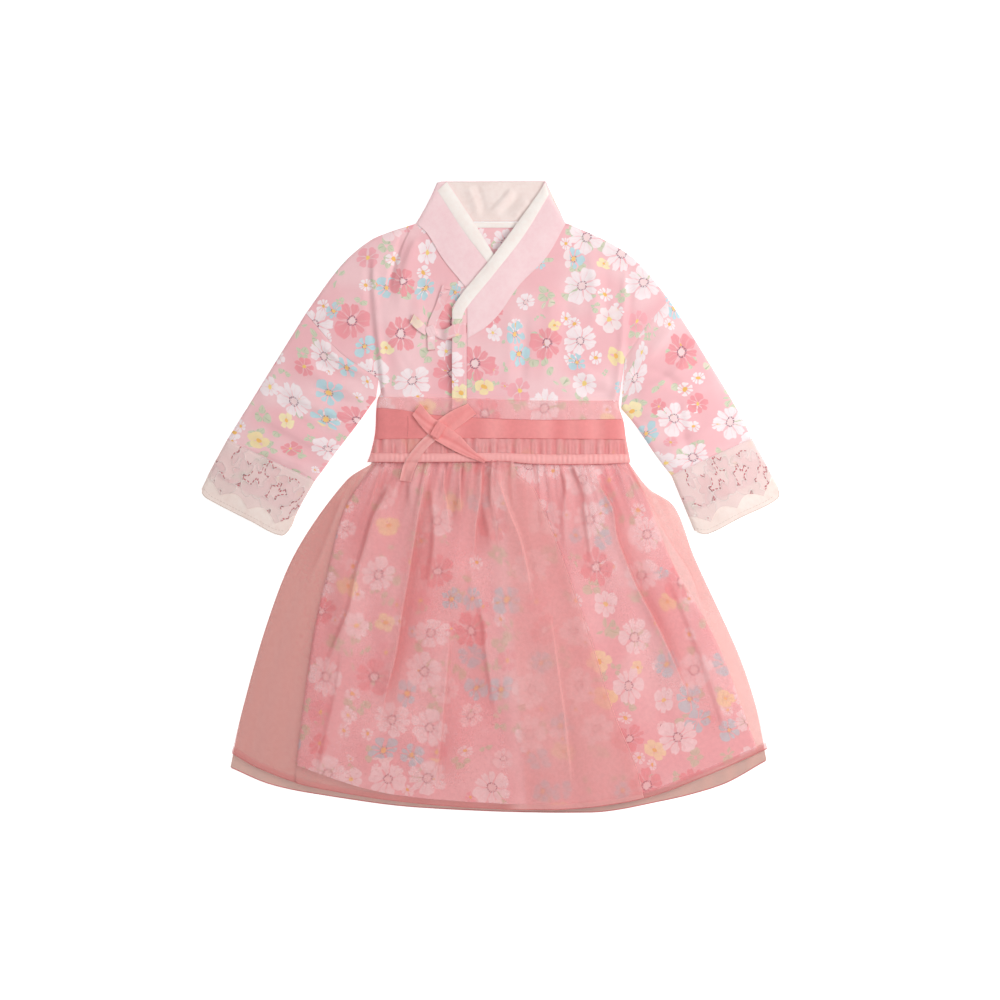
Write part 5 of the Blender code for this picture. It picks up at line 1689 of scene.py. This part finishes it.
bow = {
    "bowTailRight": dict(node="bow_tail_right", look="bowSheer",
                         a=[(-58, 66), (-70, 55), (-80, 43), (-86, 33.5), (-90.5, 16)],
                         b=[(-52, 58), (-63, 48), (-71, 36.5), (-76.5, 24), (-79, 14.5)]),
    "bowEndLeft": dict(node="bow_end_left", look="bow",
                       a=[(-55, 74), (-40, 84.5), (-22.5, 92.5)], b=[(-47, 57), (-31.5, 69), (-14, 82.2)]),
    "bowEndRight": dict(node="bow_end_right", look="bow",
                        a=[(-69.5, 92.5), (-58.5, 79.5), (-50, 74)],
                        b=[(-78, 81), (-65.5, 65.5), (-54.5, 55.8)]),
    "bowTailLeft": dict(node="bow_tail_left", look="bow",
                        a=[(-52, 75), (-47.5, 72.5), (-30.5, 60.5), (-20.5, 49.5), (-4.5, 35.4)],
                        b=[(-58, 58.5), (-54.5, 55.5), (-38.5, 46.5), (-23.5, 39.5), (-6.2, 33.4)]),
}
# of the ribbons: thickness pressed flat, curl of their edges, height above what they lie on
ribbon = {"thick": 0.7, "curl": 0.25, "rise": 0.15}


def layRibbon(name, spec, top, look):
    # a strip folded along its middle and pressed: its two long edges lie on each other at one side
    first = Line(spec["a"])
    second = Line(spec["b"])
    length = (first.length + second.length) / 2
    data, u, v = newSheet(name, 36, max(16, round(length / 1.1)))
    front = u <= 0.5
    part = crowded(np.where(front, u * 2, 2 - u * 2), 0.9)
    xy = first.at(v) * (1 - part[:, None]) + second.at(v) * part[:, None]
    width = np.linalg.norm(first.at(v) - second.at(v), axis=1)
    body = bulge(np.minimum(part, 1 - part) * width, 1.2) * ribbon["thick"] / 2
    curl = ribbon["curl"] * (2 * part - 1) ** 4 + 0.2 * pleats(v * length + part * 6, 17, len(name))
    middle = top(xy[:, 0], xy[:, 1]) + ribbon["rise"] + ribbon["thick"] / 2 + curl
    z = middle + np.where(front, body, -body)
    shift = spec.get("shift", (40, 300))
    around = np.where(front, part, 2 - part) * width.mean()
    cloth = np.stack([around + shift[0], -v * length + shift[1]], -1)
    setCloth(data, np.column_stack([xy, z]), cloth)
    # painted highlight, paler towards the ribbon's long edges
    paintedHighlight = 0.3 + 0.5 * (2 * part - 1) ** 4 + 0.2 * pleats(part * 9 + v * 3, 4, len(name))
    setValues(data, {"slope": 0, "tuck": 0, "crest": np.clip(paintedHighlight, 0, 1)})
    return addPiece(name, data, look), float(width.mean()), length


def wrapKnot(name, middle, size, turn, top, look, shift):
    # the wrap of cloth round the ribbons: a pressed pad with soft folds along it, its underside flat
    mesh = bmesh.new()
    bmesh.ops.create_cube(mesh, size=1.0)
    bmesh.ops.subdivide_edges(mesh, edges=mesh.edges, cuts=11, use_grid_fill=True)
    for _ in range(6):
        bmesh.ops.smooth_vert(mesh, verts=mesh.verts, factor=0.5, use_axis_x=True, use_axis_y=True,
                              use_axis_z=True)
    for vert in mesh.verts:
        x, y, z = vert.co
        if z > 0:
            vert.co.z = z * (1 - 0.16 * (0.5 + 0.5 * math.cos(3.1 * 2 * math.pi * (x + 0.12 * y))))
    bmesh.ops.scale(mesh, vec=Vector(size) * mm * 1.12, verts=mesh.verts)
    bmesh.ops.rotate(mesh, cent=(0, 0, 0), matrix=Matrix.Rotation(math.radians(turn), 3, "Z"),
                     verts=mesh.verts)
    height = float(top(np.array([middle[0]]), np.array([middle[1]]))[0])
    bmesh.ops.translate(mesh, vec=Vector((*middle, height + size[2] * 0.4)) * mm, verts=mesh.verts)
    layer = mesh.loops.layers.uv.new("cloth")
    for face in mesh.faces:
        for loop in face.loops:
            loop[layer].uv = (loop.vert.co.x + shift[0] * mm, loop.vert.co.y + shift[1] * mm)
    data = bpy.data.meshes.new(name)
    mesh.to_mesh(data)
    mesh.free()
    # an even painted highlight over the knot
    setValues(data, {"slope": 0.1, "crest": 0.35, "tuck": 0})
    return addPiece(name, data, look)


onRightFront = lifted(rightFrontTop, 0.1)


def fromPlacket(x, y):
    dropped = ease((-42 - x) / 9)
    return (placketTopAt(x, y) + 0.2) * (1 - dropped) + (onRightFront(x, y) + 0.5) * dropped


def onBand(x, y):
    below = ease((waistY - 2 - y) / 6)
    gap = bandBase(x, y) + 1.4
    band = np.where(y > 58, sashHeight(x, y), np.where(y > 43, np.maximum(gap, gatherHeight(x, y)),
                                                       elasticHeight(x, y)))
    return (band + 0.1) * (1 - below) + (overTop(x, y) + 0.5) * below


def buildTies():
    for name, spec in ties.items():
        top = {"tieLower": fromPlacket, "tieTailSide": lifted(onRightFront, 1.2)}.get(
            name, lifted(onRightFront, 0.6))
        piece, width, length = layRibbon(name, spec, top, looks["printedPale"])
        end = Line([spec["a"][-1], spec["b"][-1]])
        if name == "tieLower":
            end = Line([spec["a"][0], spec["b"][0]])
        if name == "tieUpper":
            end = Line([(-46, 207.2), (-40.5, 206)])
        row = layCords(name + "End", [onTop(end, lifted(top, 0.8), 8)], 0.28, looks["seamPink"])
        others = [row]
        attach(row, "printed_cotton")
        if name == "tieLower":
            knot = wrapKnot("tieKnot", (-59.5, 165), (8.5, 9.5, 2.6), 20, lifted(onRightFront, 1.0),
                            looks["printedPale"], (96, 305))
            attach(knot, "printed_cotton", "tie_knot")
            others.append(knot)
        declare(piece, [spec["node"]], "printed_cotton",
                withPieces=others)
    for rise, (name, spec) in zip((0, 0.6, 1.2, 1.2), bow.items()):
        piece, width, length = layRibbon(name, spec, lifted(onBand, rise), looks[spec["look"]])
        others = []
        if name == "bowTailLeft":
            knot = wrapKnot("bowKnot", (-52, 66), (9, 15, 3.4), -32, lifted(onBand, 1.2), looks["bow"],
                            (300, 200))
            attach(knot, "coral_sash", "bow_knot")
            others.append(knot)
        declare(piece, [spec["node"]], "coral_sash",
                withPieces=others)
    print("ties made")


# ---- floor, light and camera

studio = {
    "camera": (9.5 * mm, -3.5 * mm, 2.361),
    "lens": 85,
    # each light's place, size and power
    "lights": [("keyLight", (0.95, 0.25, 0.9), 0.6, 9.5), ("fillLight", (-1.5, -0.3, 2.2), 2.0, 6),
               ("topLight", (0.1, 0.4, 2.9), 2.4, 27)],
    "ambient": 0.30,
    "floorGlow": 0.55,
}


def buildStudio():
    mesh = bmesh.new()
    bmesh.ops.create_grid(mesh, x_segments=2, y_segments=2, size=4)
    data = bpy.data.meshes.new("floor")
    mesh.to_mesh(data)
    mesh.free()
    paper = bpy.data.materials.new("floorPaper")
    paper.use_nodes = True
    shader = paper.node_tree.nodes["Principled BSDF"]
    shader.inputs["Base Color"].default_value = (0.86, 0.86, 0.86, 1)
    shader.inputs["Roughness"].default_value = 0.9
    shader.inputs["Emission Color"].default_value = (1, 1, 1, 1)
    shader.inputs["Emission Strength"].default_value = studio["floorGlow"]
    data.materials.append(paper)
    addObject("floor", data)

    for name, place, size, power in studio["lights"]:
        lamp = bpy.data.lights.new(name, "AREA")
        lamp.size = size
        lamp.energy = power
        holder = addObject(name, lamp)
        holder.location = place
        holder.rotation_euler = (-Vector(place)).to_track_quat("-Z", "Y").to_euler()
    world = bpy.data.worlds.new("studio")
    world.use_nodes = True
    world.node_tree.nodes["Background"].inputs["Color"].default_value = (1, 1, 1, 1)
    world.node_tree.nodes["Background"].inputs["Strength"].default_value = studio["ambient"]
    bpy.context.scene.world = world
    bpy.context.scene.view_settings.view_transform = "Standard"

    view = bpy.data.cameras.new("camera")
    view.lens = studio["lens"]
    view.sensor_width = 36
    camera = addObject("camera", view)
    camera.location = studio["camera"]
    bpy.context.scene.camera = camera
    print("studio made")


buildStudio()
buildBodice()
buildSleeves()
buildCollar()
buildWaist()
buildSkirts()
buildTies()
